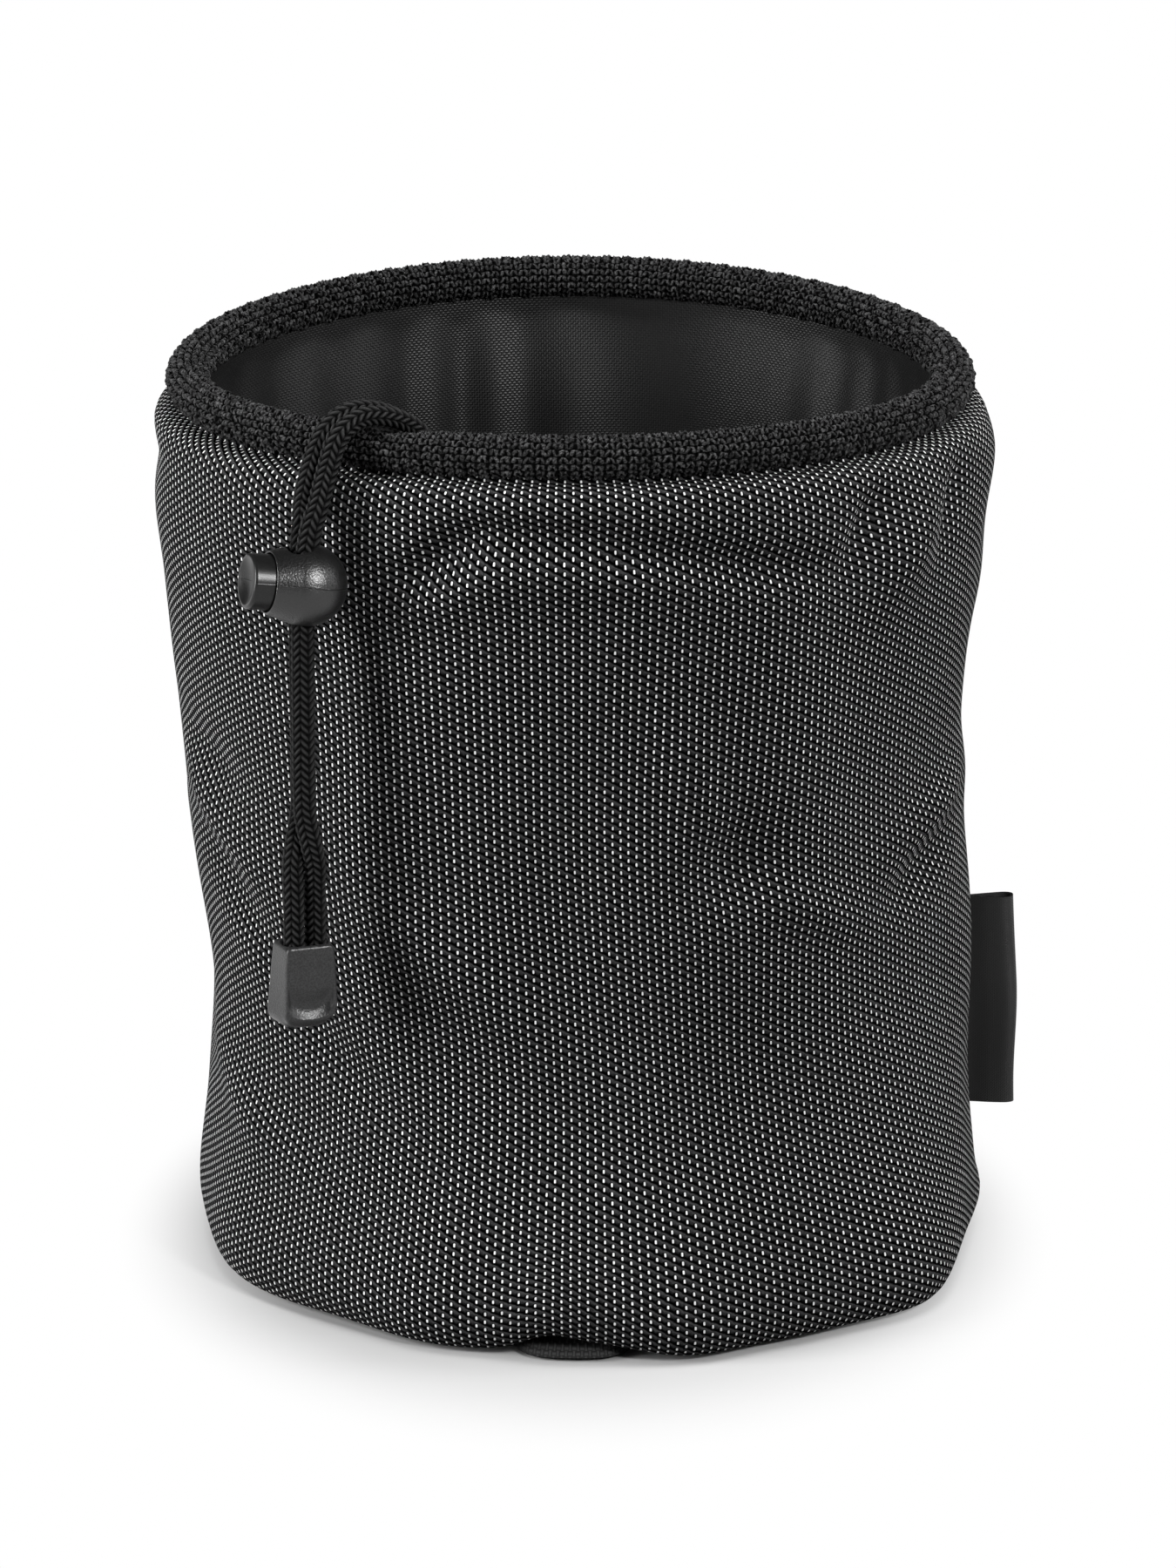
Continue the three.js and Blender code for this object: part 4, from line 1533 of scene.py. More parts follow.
@dataclass
class Collar:
    """The thin gathered collar, which hangs inside from the rim and turns up in a hem round the drawcord."""

    form: BagForm
    cloth: float = 0.7
    step: float = 1.15
    columns: int = 400
    thread: float = 0.55
    girth: float = 500.0
    laid_radius: float = 79.5
    main_folds: int = 8
    fold_depth: float = 2.4
    gathers: int = 46
    gather_depth: float = 1.1
    pleats: int = 27
    pleat_depth: float = 0.6
    roll_depth: float = 0.35
    gap_half: float = 14.0
    hem_stitch: Span = (2.8, 2.1)
    stitch_step: float = 0.8
    stitch_inset: float = 2.2

    def line(self) -> Array:
        """Draws the collar as radius and height, from the hem's turned edge to the edge in the rim."""
        form = self.form
        ring, low, edge, top = form.hem_ring, form.hem_height, form.collar_edge, form.edge_top
        return rounded_line(
            [
                (ring + 1.6, low + 7.2),
                (ring - 2.6, low + 3.6),
                (ring - 3.4, low),
                (ring, low - 4.0),
                (ring + 3.7, low - 0.6),
                (edge - 2.6, low + 7),
                (edge - 2.2, low + 27),
                (edge - 1.6, low + 48),
                (edge - 0.1, top - 6),
                (edge, top - 2),
                (edge, top),
            ],
            self.step,
        )

    def gathered(self, line: Array, azimuth: Array) -> Array:
        """Sweeps the collar's line round the axis, in soft folds and with gathers along the hem.

        Args:
            line: Radius and height of each row.
            azimuth: The columns' azimuths.

        Returns:
            The settled points by rows and columns.
        """
        form = self.form
        ring, low, top = form.hem_ring, form.hem_height, form.edge_top
        radius, height = line[:, :1], line[:, 1:]
        turn = np.radians(azimuth)[None, :]
        share = np.clip((height - low - 9) / (top - low - 13), 0, 1)
        hangs = (np.arange(len(line)) > np.argmin(line[:, 1]))[:, None]
        main = self.fold_depth * np.sin(np.pi * share) * (0.5 + 0.5 * np.cos(self.main_folds * turn))
        drift = 1.6 * np.sin(3 * turn + 0.4) + 1.1 * np.sin(5 * turn + 2.0)
        fine = 0.5 + 0.5 * np.cos(self.gathers * turn + drift)
        near_hem = eased(height, low + 44, low + 10) * eased(height, low + 4, low + 10)
        near_cord = 1.0 - 0.8 * hump(azimuth, form.cord_azimuth, 12)[None, :]
        pleats = np.cos(self.pleats * turn + 2.0 * drift) * np.sqrt(np.sin(np.pi * share))
        fullness = self.gather_depth * fine * near_hem + self.pleat_depth * (1.0 + pleats)
        inward = main * hangs + fullness * hangs * near_cord
        rolled = self.roll_depth * np.cos(self.gathers * turn + drift) * eased(height, low + 8, low + 2)
        moved = radius - inward + rolled * np.sign(radius - ring)
        return form.settle(form.around(azimuth[None, :], moved, height))

    def kept_faces(self, line: Array, azimuth: Array) -> Array:
        """Gives the faces to keep, which leave a gap in the hem where the cords come out.

        Args:
            line: Radius and height of each row.
            azimuth: The columns' azimuths.

        Returns:
            Whether each face stays, by rows and columns.
        """
        form = self.form
        middle = (azimuth + 180.0 / self.columns)[None, :]
        open_here = abs(turn_between(middle, form.cord_azimuth)) < self.gap_half
        hem = (line[:-1, 0] < form.hem_ring + 2.4) & (line[:-1, 1] < form.hem_height + 12)
        return ~(open_here & hem[:, None])

    def sew_hem(self, edge: Array, azimuth: Array, thread: Material) -> None:
        """Sews the hem with a row of stitches.

        Args:
            edge: The row of the collar's points along which it is sewn.
            azimuth: The columns' azimuths.
            thread: The stitches' material.
        """
        form = self.form
        start = form.cord_azimuth + self.gap_half + 2
        end = form.cord_azimuth + 358 - self.gap_half
        sewn = np.arange(start, end, self.stitch_step)
        places = [np.interp(sewn % 360, azimuth, edge[:, axis], period=360) for axis in range(3)]
        outward = -form.around(sewn, 0.62, 0.0) + [0.0, 0.0, 0.78]
        pitch, length = self.hem_stitch
        sewing = Stitching(pitch=pitch, length=length, finish=thread)
        row = sewing.build("collar_hem_stitches", np.stack(places, axis=1), outward)
        settled_in(row, Body.BAG)

    def build(self, finish: Material, thread: Material) -> Piece:
        """Makes the collar and the stitches of its hem.

        Args:
            finish: The collar's material.
            thread: The stitches' material.

        Returns:
            The collar's piece.
        """
        line = self.line()
        along = lengths_along(line)
        azimuth = np.linspace(0, 360, self.columns, endpoint=False)
        across = np.linspace(0, self.girth, self.columns + 1)
        points = self.gathered(line, azimuth)
        weave = weave_chart(along / self.thread, across / self.thread)
        patch = Patch(points, weave, closed_columns=True, kept=self.kept_faces(line, azimuth))
        piece = mesh_piece("collar_cloth", [patch], [finish])
        thickened(piece, self.cloth)
        settled_in(piece, Body.BAG, ["collar"])
        self.sew_hem(points[int(np.argmin(abs(along - self.stitch_inset)))], azimuth, thread)
        return piece


@dataclass
class Drawcord:
    """The braided drawcord: a loop in the collar's hem and two legs over the rim to the cord end.

    Attributes:
        out_of_hem: The route out of the hem: turn in degrees, inward and up.
        over_rim: The route over the rim: azimuth, outward and up in arches, and the way the legs lie apart.
        hanging: The hanging route: height above the cord end, inward, and the way the legs lie apart.
    """

    form: BagForm
    pitch: float = 4.9
    arch: float = 7.4
    hang_azimuth: float = -33.0
    hang_radius: float = 101.3
    end_top: float = 91.7
    step: float = 0.32
    columns: int = 8
    strand_sides: int = 6
    strand: float = 1.65
    slant: float = 1.0
    strand_sunk: float = 0.62
    strand_rise: float = 0.74
    round_steps: float = 5.0
    grip: float = 0.29
    grip_low: Span = (17, 26)
    grip_high: Span = (86, 96)
    huddle: float = 0.94
    flat_azimuth: float = 14.0
    hang_band: Span = (92, 95)
    bend_height: float = 195.0
    bend_from: float = 84.5
    bend_to: float = 95.5
    loop_gap: float = 18.6
    loop_step: float = 0.45
    out_of_hem: tuple[tuple[float, float, float], ...] = (
        (18, 0, 0),
        (14, 0, 0),
        (12, 0.1, 0.1),
        (8, 1.2, 1.9),
        (3.6, 2.7, 7),
        (2, 2.9, 14),
    )
    over_rim: tuple[tuple[float, float, float, float], ...] = (
        (-21.7, -1.3, -6.6, 68),
        (-21.7, -1.28, -4.6, 68),
        (-21.9, -1.26, -2.6, 66),
        (-22.7, -1.24, -1.2, 56),
        (-24, -1.13, -0.33, 44),
        (-26, -0.96, 0.38, 34),
        (-28.4, -0.34, 0.86, 28),
        (-31, 0.40, 0.97, 28),
        (-32.6, 1.06, 0.55, 34),
        (-33.2, 1.52, -0.35, 42),
        (-33.2, 1.95, -1.3, 38),
    )
    hanging: tuple[tuple[float, float, float], ...] = (
        (89.2, 2.5, 32),
        (84.2, 1.4, 24),
        (80.2, 0.6, 20),
        (76.2, 0.1, 18),
        (71.2, 0, 14),
        (47.2, 0, 9),
        (32, 0, 10),
        (27, 0, 22),
        (22, 0, 55),
        (17, 0, 86),
        (12, 0, 103),
        (7, 0, 107),
        (2, 0, 107),
        (-10, 0, 107),
    )

    def hanging_place(self, height: float, inward: float = 0.0) -> Array:
        """Gives a place by the hanging line, which leans with the rim but doesn't droop."""
        place = self.form.around(self.hang_azimuth, self.hang_radius - inward, height)
        return place - [self.form.lean, 0.0, 0.0]

    def route(self, side: Side) -> Array:
        """Draws one leg's middle line, from the hem to the cord end.

        Args:
            side: Which leg.

        Returns:
            Points along it, in millimetres.
        """
        form = self.form
        half = side.value * self.pitch / 2
        stops = []
        for turn, inward, up in self.out_of_hem:
            azimuth = form.cord_azimuth + side.value * turn
            stops.append(form.settle(form.around(azimuth, form.hem_ring - inward, form.hem_height + up)))
        for azimuth, outward, up, across in self.over_rim:
            radius = form.rim_ring + outward * self.arch
            place = form.around(azimuth, radius, form.rim_height + up * self.arch)
            stops.append(form.settle(place) + form.around(across, half, 0.0))
        for up, inward, across in self.hanging:
            closer = half * (1.0 - self.grip * self.gripped(up)) * self.huddle
            stops.append(self.hanging_place(self.end_top + up, inward) + form.around(across, closer, 0.0))
        return rounded_line(stops, self.step, 0.0)

    def gripped(self, up: Array | float) -> Array:
        """Gives how far the lock has pressed the cords flat, at heights above the cord end."""
        return eased(up, *self.grip_low) * (1.0 - eased(up, *self.grip_high))

    def tube(
        self, name: str, line: Array, finish: Material, first: Array, pressed: Array | None = None
    ) -> Piece:
        """Makes a braided tube along a line.

        Args:
            name: The piece's name.
            line: The middle line, in millimetres.
            finish: The braid's material.
            first: A direction that isn't along the line's start.
            pressed: How far each point is pressed flat, or None.

        Returns:
            The piece.
        """
        steps = self.columns * self.strand_sides
        way = np.gradient(line, axis=0)
        way /= np.linalg.norm(way, axis=1, keepdims=True)
        side = np.zeros_like(line)
        carried = np.asarray(first, float)
        for i, along in enumerate(way):
            carried = carried - along * np.dot(carried, along)
            carried /= np.linalg.norm(carried)
            side[i] = carried
        out = np.cross(way, side)
        turns = np.linspace(0, math.tau, steps, endpoint=False)
        across = np.linspace(0, self.columns, steps + 1)
        along = lengths_along(line) / self.strand
        aside = (across[:-1] % 1.0) - 0.5
        lean = np.where(np.floor(across[:-1]) % 2 == 0, -1.0, 1.0)
        phase = along[:, None] + (aside * lean * self.slant)[None, :]
        ridge = np.sqrt(0.5 + 0.5 * np.cos(math.tau * phase))
        strand = ridge * (1.0 - (2 * aside[None, :]) ** 4 * 0.6)
        radius = self.form.cord_radius - self.strand_sunk + self.strand_rise * strand
        number = np.arange(len(line))
        ends = np.clip(np.minimum(number, number[::-1]) / self.round_steps, 0, 1)
        radius = radius * np.sqrt(np.clip(1.0 - (1.0 - ends) ** 2, 0.02, 1.0))[:, None]
        points = (
            line[:, None, :]
            + radius[..., None] * np.cos(turns)[None, :, None] * side[:, None, :]
            + radius[..., None] * np.sin(turns)[None, :, None] * out[:, None, :]
        )
        if pressed is not None:
            flat = self.form.around(self.flat_azimuth, 1.0, 0.0)
            wide = self.form.around(self.flat_azimuth + 90.0, 1.0, 0.0)
            offset = points - line[:, None, :]
            share = pressed[:, None, None]
            points = points - (offset @ flat)[..., None] * flat * self.grip * share
            points = points + (offset @ wide)[..., None] * wide * self.grip * 0.2 * share
        patch = Patch(points, weave_chart(along, across), closed_columns=True)
        piece = mesh_piece(name, [patch], [finish])
        work = bmesh.new()
        work.from_mesh(piece.data)
        bmesh.ops.holes_fill(work, edges=[edge for edge in work.edges if edge.is_boundary], sides=0)
        bmesh.ops.recalc_face_normals(work, faces=work.faces[:])
        work.to_mesh(piece.data)
        work.free()
        piece.data.shade_smooth()
        return piece

    def build_leg(self, side: Side, finish: Material) -> tuple[Piece, Array]:
        """Makes one leg, from the hem over the rim to the cord end.

        Args:
            side: Which leg.
            finish: The braid's material.

        Returns:
            The piece and its middle line in metres.
        """
        line = self.route(side)
        word = side.name.lower()
        hanging = eased(np.hypot(line[:, 0] + self.form.lean, line[:, 1]), *self.hang_band)
        pressed = self.gripped(line[:, 2] - self.end_top) * hanging
        piece = self.tube(f"drawcord_{word}", line, finish, np.array([0.0, 0.0, 1.0]), pressed)
        outward = self.form.around(self.hang_azimuth, 1.0, 0.0)
        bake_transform(piece)
        nodes = [f"drawcord_{word}_over_rim", f"drawcord_{word}_hanging"]
        settled_in(piece, None, nodes)
        return piece, line * MM

    def build_loop(self, finish: Material) -> Piece:
        """Makes the loop inside the hem.

        Args:
            finish: The braid's material.

        Returns:
            The piece.
        """
        form = self.form
        start = form.cord_azimuth + self.loop_gap
        azimuth = np.linspace(start, form.cord_azimuth + 360 - self.loop_gap, 120)
        ring = form.settle(form.around(azimuth, form.hem_ring, form.hem_height))
        line = resampled(ring, self.loop_step)
        piece = self.tube("drawcord_in_hem", line, finish, np.array([0.0, 0.0, 1.0]))
        settled_in(piece, Body.BAG, ["drawcord_loop"])
        return piece


@dataclass
class CordLock:
    """The sprung cord lock: a ball with a dished push button."""

    cord: Drawcord
    height: float = 168.9
    side_azimuth: float = 20.0
    pitch: float = 9.0
    roll: float = 8.0
    forward: float = 1.0
    ball: float = 8.7
    face: float = 8.4
    face_radius: float = 6.5
    nose_angle: float = 22.0
    bore: float = 6.1
    bore_end: float = -5.3
    pocket: float = 3.3
    pocket_end: float = -7.5
    button: float = 5.8
    button_back: float = -3.0
    proud: float = 4.5
    slot_low: float = -1.95
    slot_high: float = 3.95
    slot_half: float = 3.6
    slot_corner: float = 2.3
    chamfer: float = 0.15
    core: float = 0.05
    button_edge: float = 0.7
    button_bevel: float = 0.3
    button_slot: float = 2.0
    button_slot_corner: float = 2.0
    dish: float = 1.2
    dish_rim: float = 0.8
    steps: int = 128
    voxel: float = 0.2

    def place(self) -> Matrix:
        """Gives the lock's place in the bag, in millimetres: it tips with the cords that it grips."""
        turn = Matrix.Rotation(math.radians(self.side_azimuth - 180.0), 4, "Z")
        tip = Matrix.Rotation(-math.radians(self.pitch), 4, "Y")
        tip = tip @ Matrix.Rotation(math.radians(self.roll), 4, "X")
        forward = (turn @ tip @ Matrix.Translation((self.forward, 0.0, 0.0))).to_translation()
        middle = self.cord.hanging_place(self.height) - np.array(forward)
        return Matrix.Translation(middle) @ turn @ tip

    def slot(self, high: float, corner: float, reach: float) -> Piece:
        """Makes the cutter for the cords' slot, which stands upright though the lock is tipped.

        Args:
            high: The slot's front end in X.
            corner: The corners' radius.
            reach: How far it goes up and down.

        Returns:
            The cutter.
        """
        upright = self.place().to_3x3().transposed().col[2]
        rings = []
        for height in np.linspace(-reach, reach, 9):
            ring = slot_ring(self.slot_low, high, self.slot_half, corner, height)
            rings.append(ring + [upright.x / upright.z * height, upright.y / upright.z * height, 0.0])
        return lofted("slot", rings)

    def build_body(self, finish: Material) -> Piece:
        """Makes the ball.

        Args:
            finish: Its plastic.

        Returns:
            The piece.
        """
        sweep = np.linspace(-math.pi / 2, math.radians(self.nose_angle), 60)
        profile = [(self.ball * math.sin(turn), self.ball * math.cos(turn)) for turn in sweep]
        profile += [(self.face, self.face_radius), (self.face, self.bore + self.chamfer)]
        profile += [(self.face - self.chamfer, self.bore), (self.bore_end, self.bore)]
        profile += [(self.bore_end, self.pocket), (self.pocket_end, self.pocket)]
        piece = turned_on_x("cord_lock_ball", [*profile, (self.pocket_end, 0.0)], self.steps)
        carved(piece, [self.slot(self.slot_high, self.slot_corner, self.ball + 1.0)])
        moulded(piece, self.voxel, 4)
        local_map(piece)
        placed(piece, self.place())
        piece.data.materials.append(finish)
        piece.data.shade_smooth()
        settled_in(piece, Body.LOCK, ["cord_lock_body"])
        return piece

    def build_button(self, finish: Material) -> Piece:
        """Makes the dished button with its cord slot.

        Args:
            finish: Its plastic.

        Returns:
            The piece.
        """
        end, edge = self.face + self.proud, self.button_edge
        back, bevel = self.button_back, self.button_bevel
        profile = [(back, 0.0), (back, self.core), (back, self.button - bevel), (back + bevel, self.button)]
        for turn in np.linspace(0, 1.57, 8):
            profile.append((end - edge + edge * math.sin(turn), self.button - edge + edge * math.cos(turn)))
        dished = self.button - self.dish_rim
        for radius in np.linspace(dished, self.core, 16):
            profile.append((end - self.dish * (1 - (radius / dished) ** 2), radius))
        profile.append((end - self.dish, 0.0))
        piece = turned_on_x("cord_lock_push_button", profile, self.steps)
        slot_high = self.slot_high + self.button_slot
        carved(piece, [self.slot(slot_high, self.button_slot_corner, self.button + 1.0)])
        moulded(piece, self.voxel, 3)
        local_map(piece)
        placed(piece, self.place())
        piece.data.materials.append(finish)
        piece.data.shade_smooth()
        settled_in(piece, Body.BUTTON, ["cord_lock_button"])
        return piece

    def build_spring(self, finish: Material) -> Piece:
        """Makes the coil from the solid's mesh.

        Args:
            finish: Its steel.

        Returns:
            The piece.
        """
        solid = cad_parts["cord_lock_spring"]
        piece = bpy.data.objects.new("cord_lock_coil", solid.data.copy())
        bpy.context.scene.collection.objects.link(piece)
        bpy.context.view_layer.update()
        piece.matrix_world = solid.matrix_world
        piece.data.materials.clear()
        piece.data.materials.append(finish)
        for x in (self.pocket_end, self.button_back):
            tuple((self.place() @ Matrix.Translation((x, 0.0, 0.0))).to_translation() * MM)
        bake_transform(piece)
        settled_in(piece, None, ["cord_lock_spring"])
        return piece


@dataclass
class CordEnd:
    """The moulded cord end with its thumb dimple and its back cover."""

    cord: Drawcord
    azimuth: float = 19.0
    height: float = 18.2
    top_width: float = 11.9
    bottom_width: float = 14.8
    front: float = -4.0
    back: float = 4.2
    edge: float = 0.6
    round_corner: float = 5.4
    roll: float = 2.0
    roll_reach: float = 3.6
    corner_draw: float = 0.16
    top_splay: float = 0.14
    bottom_splay: float = 0.25
    scoop_half: float = 5.0
    scoop_low: float = 3.4
    scoop_depth: float = 1.5
    scoop_lip: float = 5.4
    scoop_soft: float = 2.2
    scoop_fade: Span = (1.4, 7.5)
    bowl_full: float = 0.8
    top_corner: float = 1.2
    left_corner: float = 3.0
    splay_band: Span = (2.5, 5.0)
    pocket_room: float = 0.2
    pocket_half: float = 4.0
    pocket_corner: float = 0.4
    pocket_span: Span = (-12.0, -3.0)
    mouth_corner: float = 2.2
    mouth_flare: tuple[Span, ...] = ((-5, 0), (-0.8, 0), (1, 0.7))
    voxel: float = 0.18
    cover: float = 1.3
    cover_inset: float = 1.5
    cover_edge: float = 0.2
    gap: float = 0.3

    def place(self) -> Matrix:
        """Gives the cord end's place in the bag, in millimetres."""
        middle = self.cord.hanging_place(self.cord.end_top)
        return Matrix.Translation(middle) @ Matrix.Rotation(math.radians(self.azimuth), 4, "Z")

    def outline(self, inset: float, depth: float) -> Array:
        """Draws the front outline, drawn in by an inset, at a depth.

        Args:
            inset: How far it is drawn in.
            depth: Where it lies in Y.

        Returns:
            The ring's points.
        """
        top, bottom = self.top_width / 2 - inset, self.bottom_width / 2 - inset
        low = inset - self.height
        upper, left, right = self.top_corner, self.left_corner, self.round_corner - inset
        arcs = [(top - upper, -inset - upper, upper, 5, 90), (upper - top, -inset - upper, upper, 90, 175)]
        arcs += [(left - bottom, low + left, left, 175, 270), (bottom - right, low + right, right, 270, 365)]
        points = []
        for x, z, radius, start, end in arcs:
            for angle in np.radians(np.linspace(start, end, 10)):
                points.append((x + radius * math.cos(angle), depth, z + radius * math.sin(angle)))
        return np.array(points)

    def slab(self, name: str, inset: float, front: float, back: float, edge: float) -> Piece:
        """Makes a slab of the outline with rounded edges.

        Args:
            name: The piece's name.
            inset: How far the outline is drawn in.
            front: Its front in Y.
            back: Its back in Y.
            edge: The edges' radius.

        Returns:
            The object.
        """
        turns = np.linspace(0, math.pi / 2, 7)
        rings = []
        for turn in turns:
            drawn_in, depth = 1 - math.sin(turn), 1 - math.cos(turn)
            rings.append(self.outline(inset + edge * drawn_in, front + edge * depth))
        for turn in turns:
            drawn_in, depth = 1 - math.cos(turn), 1 - math.sin(turn)
            rings.append(self.outline(inset + edge * drawn_in, back - edge * depth))
        return lofted(name, rings)

    def scoop(self, piece: Piece) -> None:
        """Splays the sides towards the back and presses the thumb scoop into the front.

        Args:
            piece: The body, in millimetres.
        """
        mesh = piece.data
        places = np.empty(len(mesh.vertices) * 3, np.float32)
        mesh.vertices.foreach_get("co", places)
        places = places.reshape(-1, 3)
        x, y, z = places[:, 0], places[:, 1], places[:, 2]
        splay = self.top_splay + (self.bottom_splay - self.top_splay) * eased(-z, 0.0, self.height)
        x *= 1.0 - splay * eased(abs(x), *self.splay_band) * (self.back - y) / (self.back - self.front)
        faced = eased(y, self.front + 0.8, self.front + 0.2)
        low = eased(-z, self.height - self.roll_reach, self.height + 0.6) * eased(-y, 0.0, -self.front)
        corner = 1.0 + 1.2 * (2.0 * x / self.bottom_width) ** 2
        x *= 1.0 - self.corner_draw * low
        y += self.roll * low * low * corner
        bowl = np.sqrt(np.clip(1.0 - (x / self.scoop_half) ** 2, 0.0, 1.0))
        over_lip = z - (self.scoop_lip - self.height - self.scoop_low * bowl)
        hollow = np.tanh(np.maximum(over_lip, 0.0) / self.scoop_soft)
        hollow = hollow * (1.0 - eased(over_lip, *self.scoop_fade))
        cut = self.front + self.scoop_depth * hollow * eased(bowl, 0.0, self.bowl_full)
        y += np.maximum(cut - y, 0.0) * faced
        mesh.vertices.foreach_set("co", places.ravel())
        mesh.update()

    def build_body(self, finish: Material) -> Piece:
        """Makes the body.

        Args:
            finish: Its plastic.

        Returns:
            The piece.
        """
        cord, gap = self.cord.form.cord_radius, self.gap
        half = self.cord.pitch / 2 + cord + gap
        piece = self.slab("cord_end_moulding", 0.0, self.front, self.back, self.edge)
        wide, deep = half + self.pocket_room, self.pocket_half
        behind = [0, deep + (-cord - gap), 0]
        rings = [slot_ring(-wide, wide, deep, self.pocket_corner, z) + behind for z in self.pocket_span]
        pocket = lofted("pocket", rings)
        rear = self.back - self.cover - gap
        rebate = self.slab("rebate", self.cover_inset - gap, rear, self.back + 1.0, 0.1)
        rings = []
        for z, flare in self.mouth_flare:
            rings.append(slot_ring(-half - flare, half + flare, cord + gap + flare, self.mouth_corner, z))
        mouth = lofted("mouth", rings)
        carved(piece, [pocket, rebate, mouth])
        moulded(piece, self.voxel, 3)
        self.scoop(piece)
        placed(piece, self.place())
        piece.data.materials.append(finish)
        piece.data.shade_smooth()
        settled_in(piece, Body.HANGING, ["cord_end_body"])
        return piece

    def build_cover(self, finish: Material) -> Piece:
        """Makes the cover that closes the back.

        Args:
            finish: Its plastic.

        Returns:
            The piece.
        """
        front = self.back - self.cover
        piece = self.slab("cord_end_back", self.cover_inset, front, self.back, self.cover_edge)
        placed(piece, self.place())
        piece.data.materials.append(finish)
        piece.data.shade_smooth()
        piece.data.set_sharp_from_angle(angle=math.radians(40))
        settled_in(piece, Body.HANGING, ["cord_end_cover"])
        return piece


@dataclass
class Label:
    """The folded side label, bare, sewn into the side seam."""

    form: BagForm
    panel: SidePanel
    low: float = 26.4
    height: float = 47.9
    reach: float = 10.5
    cloth: float = 0.6
    tail: float = 5.5
    inside: float = -2.3
    step: float = 0.35
    thread: float = 0.32

    def slit(self) -> tuple[Array, Array]:
        """Gives the corners of the slit in the side cloth."""
        half = self.cloth * 1.25 + 0.3
        radius = self.form.body_radius
        low = np.array([radius - self.reach, -half, self.low - 0.3])
        return low, np.array([radius + self.reach, half, self.low + self.height + 0.3])

    def build(self, finish: Material) -> Piece:
        """Makes the label.

        Args:
            finish: Its weave.

        Returns:
            The piece.
        """
        back, cloth, reach = self.inside, self.cloth, self.reach
        half = [(back, -self.tail), (back, -cloth * 1.5), (back * 0.85, -cloth * 0.75)]
        half += [(reach * 0.1, -cloth * 0.75), (reach * 0.5, -cloth * 1.8)]
        half += [(reach * 0.86, -cloth * 2.0), (reach * 0.96, -cloth)]
        line = rounded_line(half + [(x, -y) for x, y in half[::-1]], self.step)
        height = np.linspace(self.low, self.low + self.height, 90)
        share = (height - self.low) / self.height
        radius = self.panel.radius_at(height)[:, None]
        out = np.clip(line[:, 0] / reach, 0, 1)[None, :]
        curl = (0.9 * (share[:, None] - 0.4) ** 2 - 0.5 * np.sin(5.0 * share[:, None])) * out * out
        x = radius + line[None, :, 0] + (0.25 * np.sin(4.0 * share) + eased(share, 0.1, 0.6))[:, None] * out
        y = line[None, :, 1] * (1.0 + 0.5 * out * eased(share, 0.6, 1.0)[:, None]) + curl
        points = self.form.settle(np.stack([x, y, np.repeat(height[:, None], len(line), axis=1)], axis=-1))
        weave = weave_chart(height / self.thread, lengths_along(line) / self.thread)
        piece = mesh_piece("side_label", [Patch(points, weave)], [finish])
        thickened(piece, cloth, 0.0)
        settled_in(piece, Body.BAG, ["label"])
        return piece


@dataclass
class Softbox:
    """One soft area lamp that looks at the bag.

    Attributes:
        lights: Whether it lights surfaces.
        mirrored: Whether it shows in gloss.
    """

    name: str
    place: tuple[float, float, float]
    size: Span
    power: float
    aim: tuple[float, float, float] = (0.0, 0.0, 0.11)
    lights: bool = True
    mirrored: bool = True

    def build(self) -> None:
        """Adds the lamp."""
        lamp = bpy.data.lights.new(self.name, "AREA")
        lamp.shape = "RECTANGLE"
        lamp.size, lamp.size_y = self.size
        lamp.energy = self.power
        holder = bpy.data.objects.new(self.name, lamp)
        way = Vector(self.place) - Vector(self.aim)
        holder.location = self.place
        holder.rotation_euler = way.to_track_quat("Z", "Y").to_euler()
        holder.visible_diffuse = self.lights
        holder.visible_glossy = self.mirrored
        bpy.context.scene.collection.objects.link(holder)


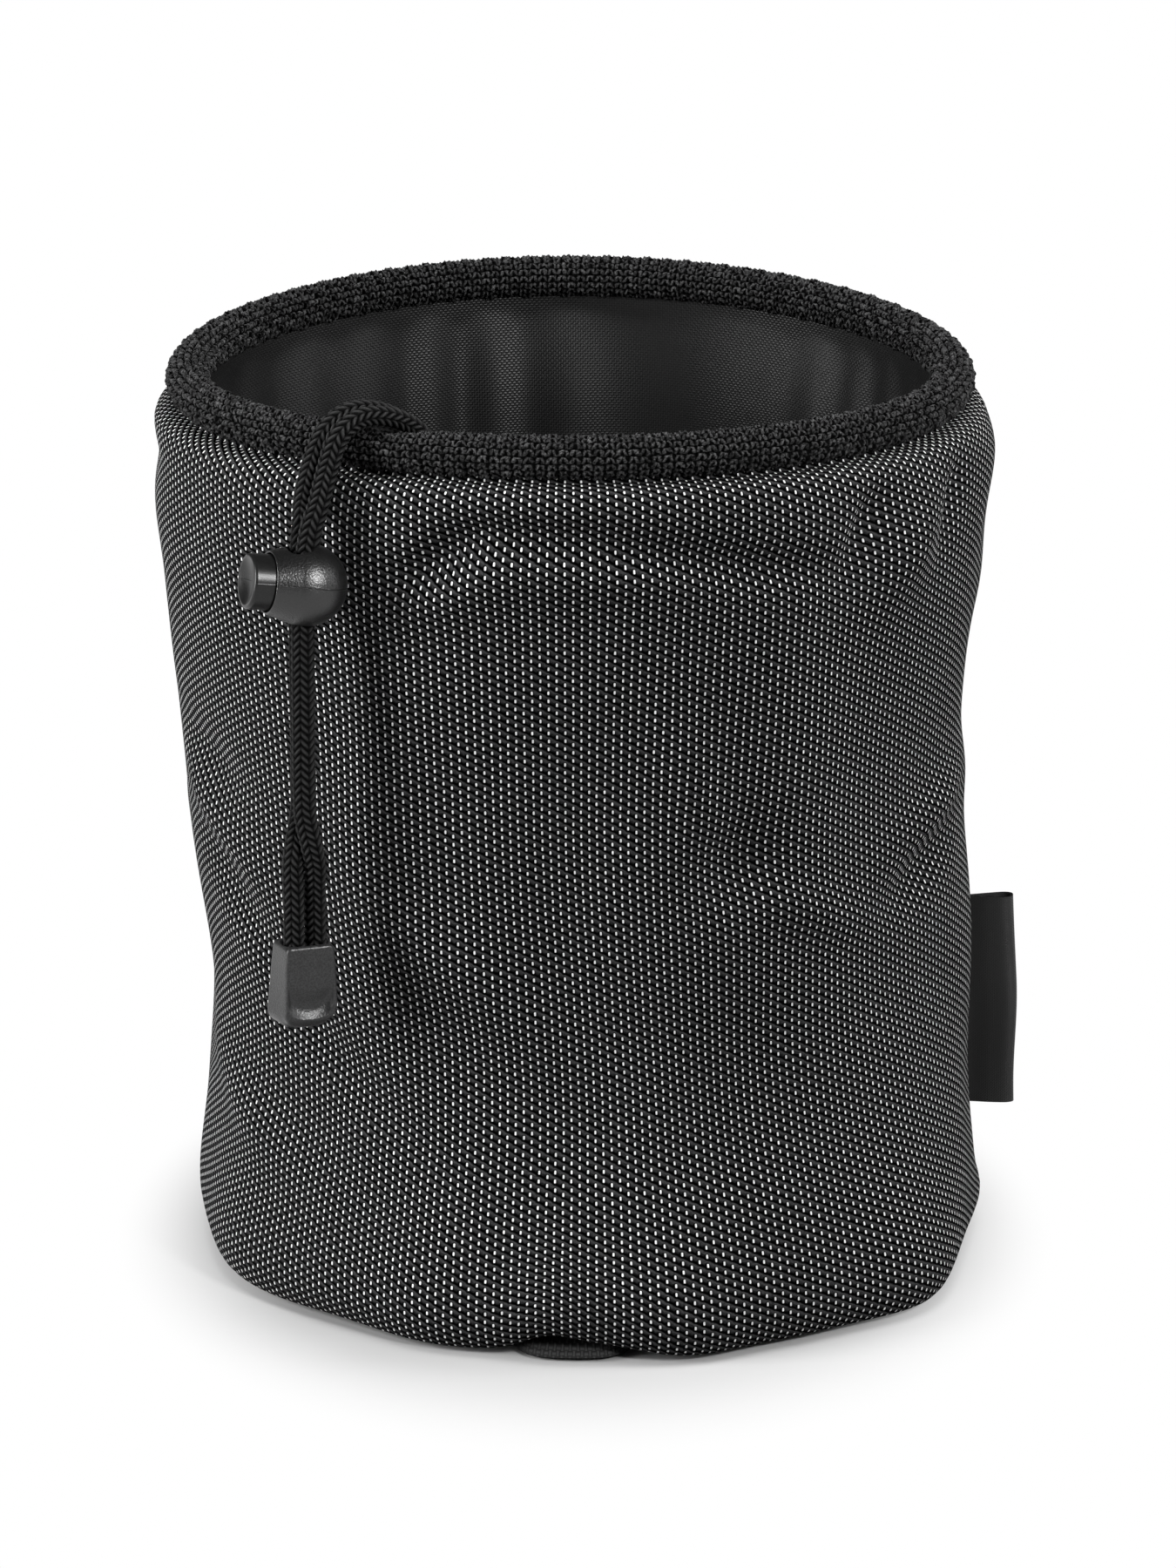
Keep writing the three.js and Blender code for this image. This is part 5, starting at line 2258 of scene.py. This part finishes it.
@dataclass
class Studio:
    """The camera, the soft lamps and the white paper."""

    camera_place: tuple[float, float, float] = (0.0008, -1.5, 0.56)
    pitch: float = 17.05
    lens: float = 164.04
    sensor: float = 36.0
    room_light: float = 0.06
    floor_half: float = 4000.0
    floor_height: float = -0.05
    lamps: tuple[Softbox, ...] = field(
        default_factory=lambda: (
            Softbox("left_softbox", (-1.3, -0.45, 0.5), (0.5, 0.9), 28.0),
            Softbox("right_softbox", (1.3, 0.0, 0.55), (0.4, 0.9), 8.0),
            Softbox("front_softbox", (0.74, -1.09, 0.94), (0.22, 0.22), 14.0, mirrored=False),
            Softbox("glint_softbox", (0.74, -1.09, 0.94), (0.42, 0.42), 36.0, lights=False),
            Softbox("top_softbox", (0.1, -0.15, 1.35), (0.8, 0.7), 15.0, mirrored=False),
        )
    )

    def build_camera(self) -> None:
        """Sets the camera where the photograph was taken from."""
        camera = bpy.data.cameras.new("camera")
        camera.lens = self.lens
        camera.sensor_fit = "VERTICAL"
        camera.sensor_height = self.sensor
        holder = bpy.data.objects.new("camera", camera)
        holder.location = self.camera_place
        holder.rotation_euler = (math.radians(90.0 - self.pitch), 0.0, 0.0)
        bpy.context.scene.collection.objects.link(holder)
        bpy.context.scene.camera = holder

    def build_light(self) -> None:
        """Adds the lamps and the room's light, with a white room behind the bag."""
        for lamp in self.lamps:
            lamp.build()
        world = bpy.data.worlds.new("room")
        graph = Graph(world)
        ray = graph.node("ShaderNodeLightPath").outputs
        seen = Value(graph, ray["Is Camera Ray"]).most(Value(graph, ray["Is Transmission Ray"]))
        strength = self.room_light + seen * (1.0 - self.room_light)
        glow = graph.node("ShaderNodeBackground", {}, {"Color": grey(1.0), "Strength": strength})
        graph.node("ShaderNodeOutputWorld", {}, {"Surface": glow.outputs[0]})
        bpy.context.scene.world = world
        bpy.context.scene.view_settings.view_transform = "Standard"

    def build_floor(self, finish: Material) -> None:
        """Lays the paper under the bag.

        Args:
            finish: The paper's material.
        """
        steps = np.linspace(-self.floor_half, self.floor_half, 9)
        x, y = np.meshgrid(steps, steps, indexing="xy")
        points = np.stack([x, y, np.full_like(x, self.floor_height)], axis=-1)
        paper = mesh_piece("studio_floor", [Patch(points, np.stack([x, y], axis=-1))], [finish])


def write_sizes() -> None:
    """Brings the scene's placements up to date.
    """
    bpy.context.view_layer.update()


def main() -> None:
    """Builds the studio and each piece of the bag in order."""
    logging.basicConfig(level=logging.INFO, format="%(message)s", force=True)
    form = BagForm()
    studio = Studio()
    studio.build_camera()

    braid = Braid().material()
    cord = Drawcord(form)
    legs = [cord.build_leg(side, braid) for side in Side]
    cord.build_loop(braid)

    lock = CordLock(cord)
    lock_plastic = Moulding("lock_plastic", grey(0.002), grey(0.008), 0.34, 2600.0, 0.00009, True, gloss=0.66)
    ball = lock.build_body(lock_plastic.material())
    push = Moulding("button_plastic", grey(0.005), grey(0.010), 0.3, 3000.0, 0.00001, True, gloss=0.34)
    button = lock.build_button(push.material())
    coil = lock.build_spring(SpringSteel().material())

    end_grain = (0.036, 0.036, 0.037, 1.0)
    end_plastic = Moulding("end_plastic", grey(0.005), end_grain, 0.34, 2900.0, 0.00009, gloss=0.42)
    end = CordEnd(cord)
    end_finish = end_plastic.material()
    end_body = end.build_body(end_finish)
    end_back = end.build_cover(end_finish)
    for side, (leg, line) in zip(Side, legs):
        line[::PATH_STEP].tolist() + [line[-1].tolist()]

    tape = PlainWeave("binding_tape", grey(0.003), grey(0.020)).material()
    thread = PlainWeave("sewing_thread", grey(0.006), grey(0.030)).material()
    reverse = PlainWeave("cloth_reverse", grey(0.004), grey(0.030)).material()
    panel = SidePanel(form)
    label = Label(form, panel)
    panel.build([TickCloth().material(), reverse], label.slit())
    label_weave = PlainWeave("label_weave", grey(0.002), grey(0.012), 0.6, 0.3, 0.00006, 0.5)
    label.build(label_weave.material())
    BasePanel(form).build(PlainWeave("base_cloth", grey(0.006), grey(0.05)).material())
    tapes = SeamTapes(form, panel)
    tapes.base_binding(tape)
    tapes.side_tape(tape)
    tapes.stitches(thread)
    hoop = Moulding("hoop_plastic", grey(0.02), grey(0.04), 0.5, 1500.0, 0.00003).material()
    Rim(form).build(RimKnit().material(), hoop)
    collar_weave = PlainWeave("collar_weave", grey(0.004), grey(0.022), 0.8, 0.22, 0.00006, 0.5)
    Collar(form).build(collar_weave.material(), thread)

    studio.build_light()
    studio.build_floor(StudioPaper().material())
    write_sizes()


if __name__ == "__main__":
    main()
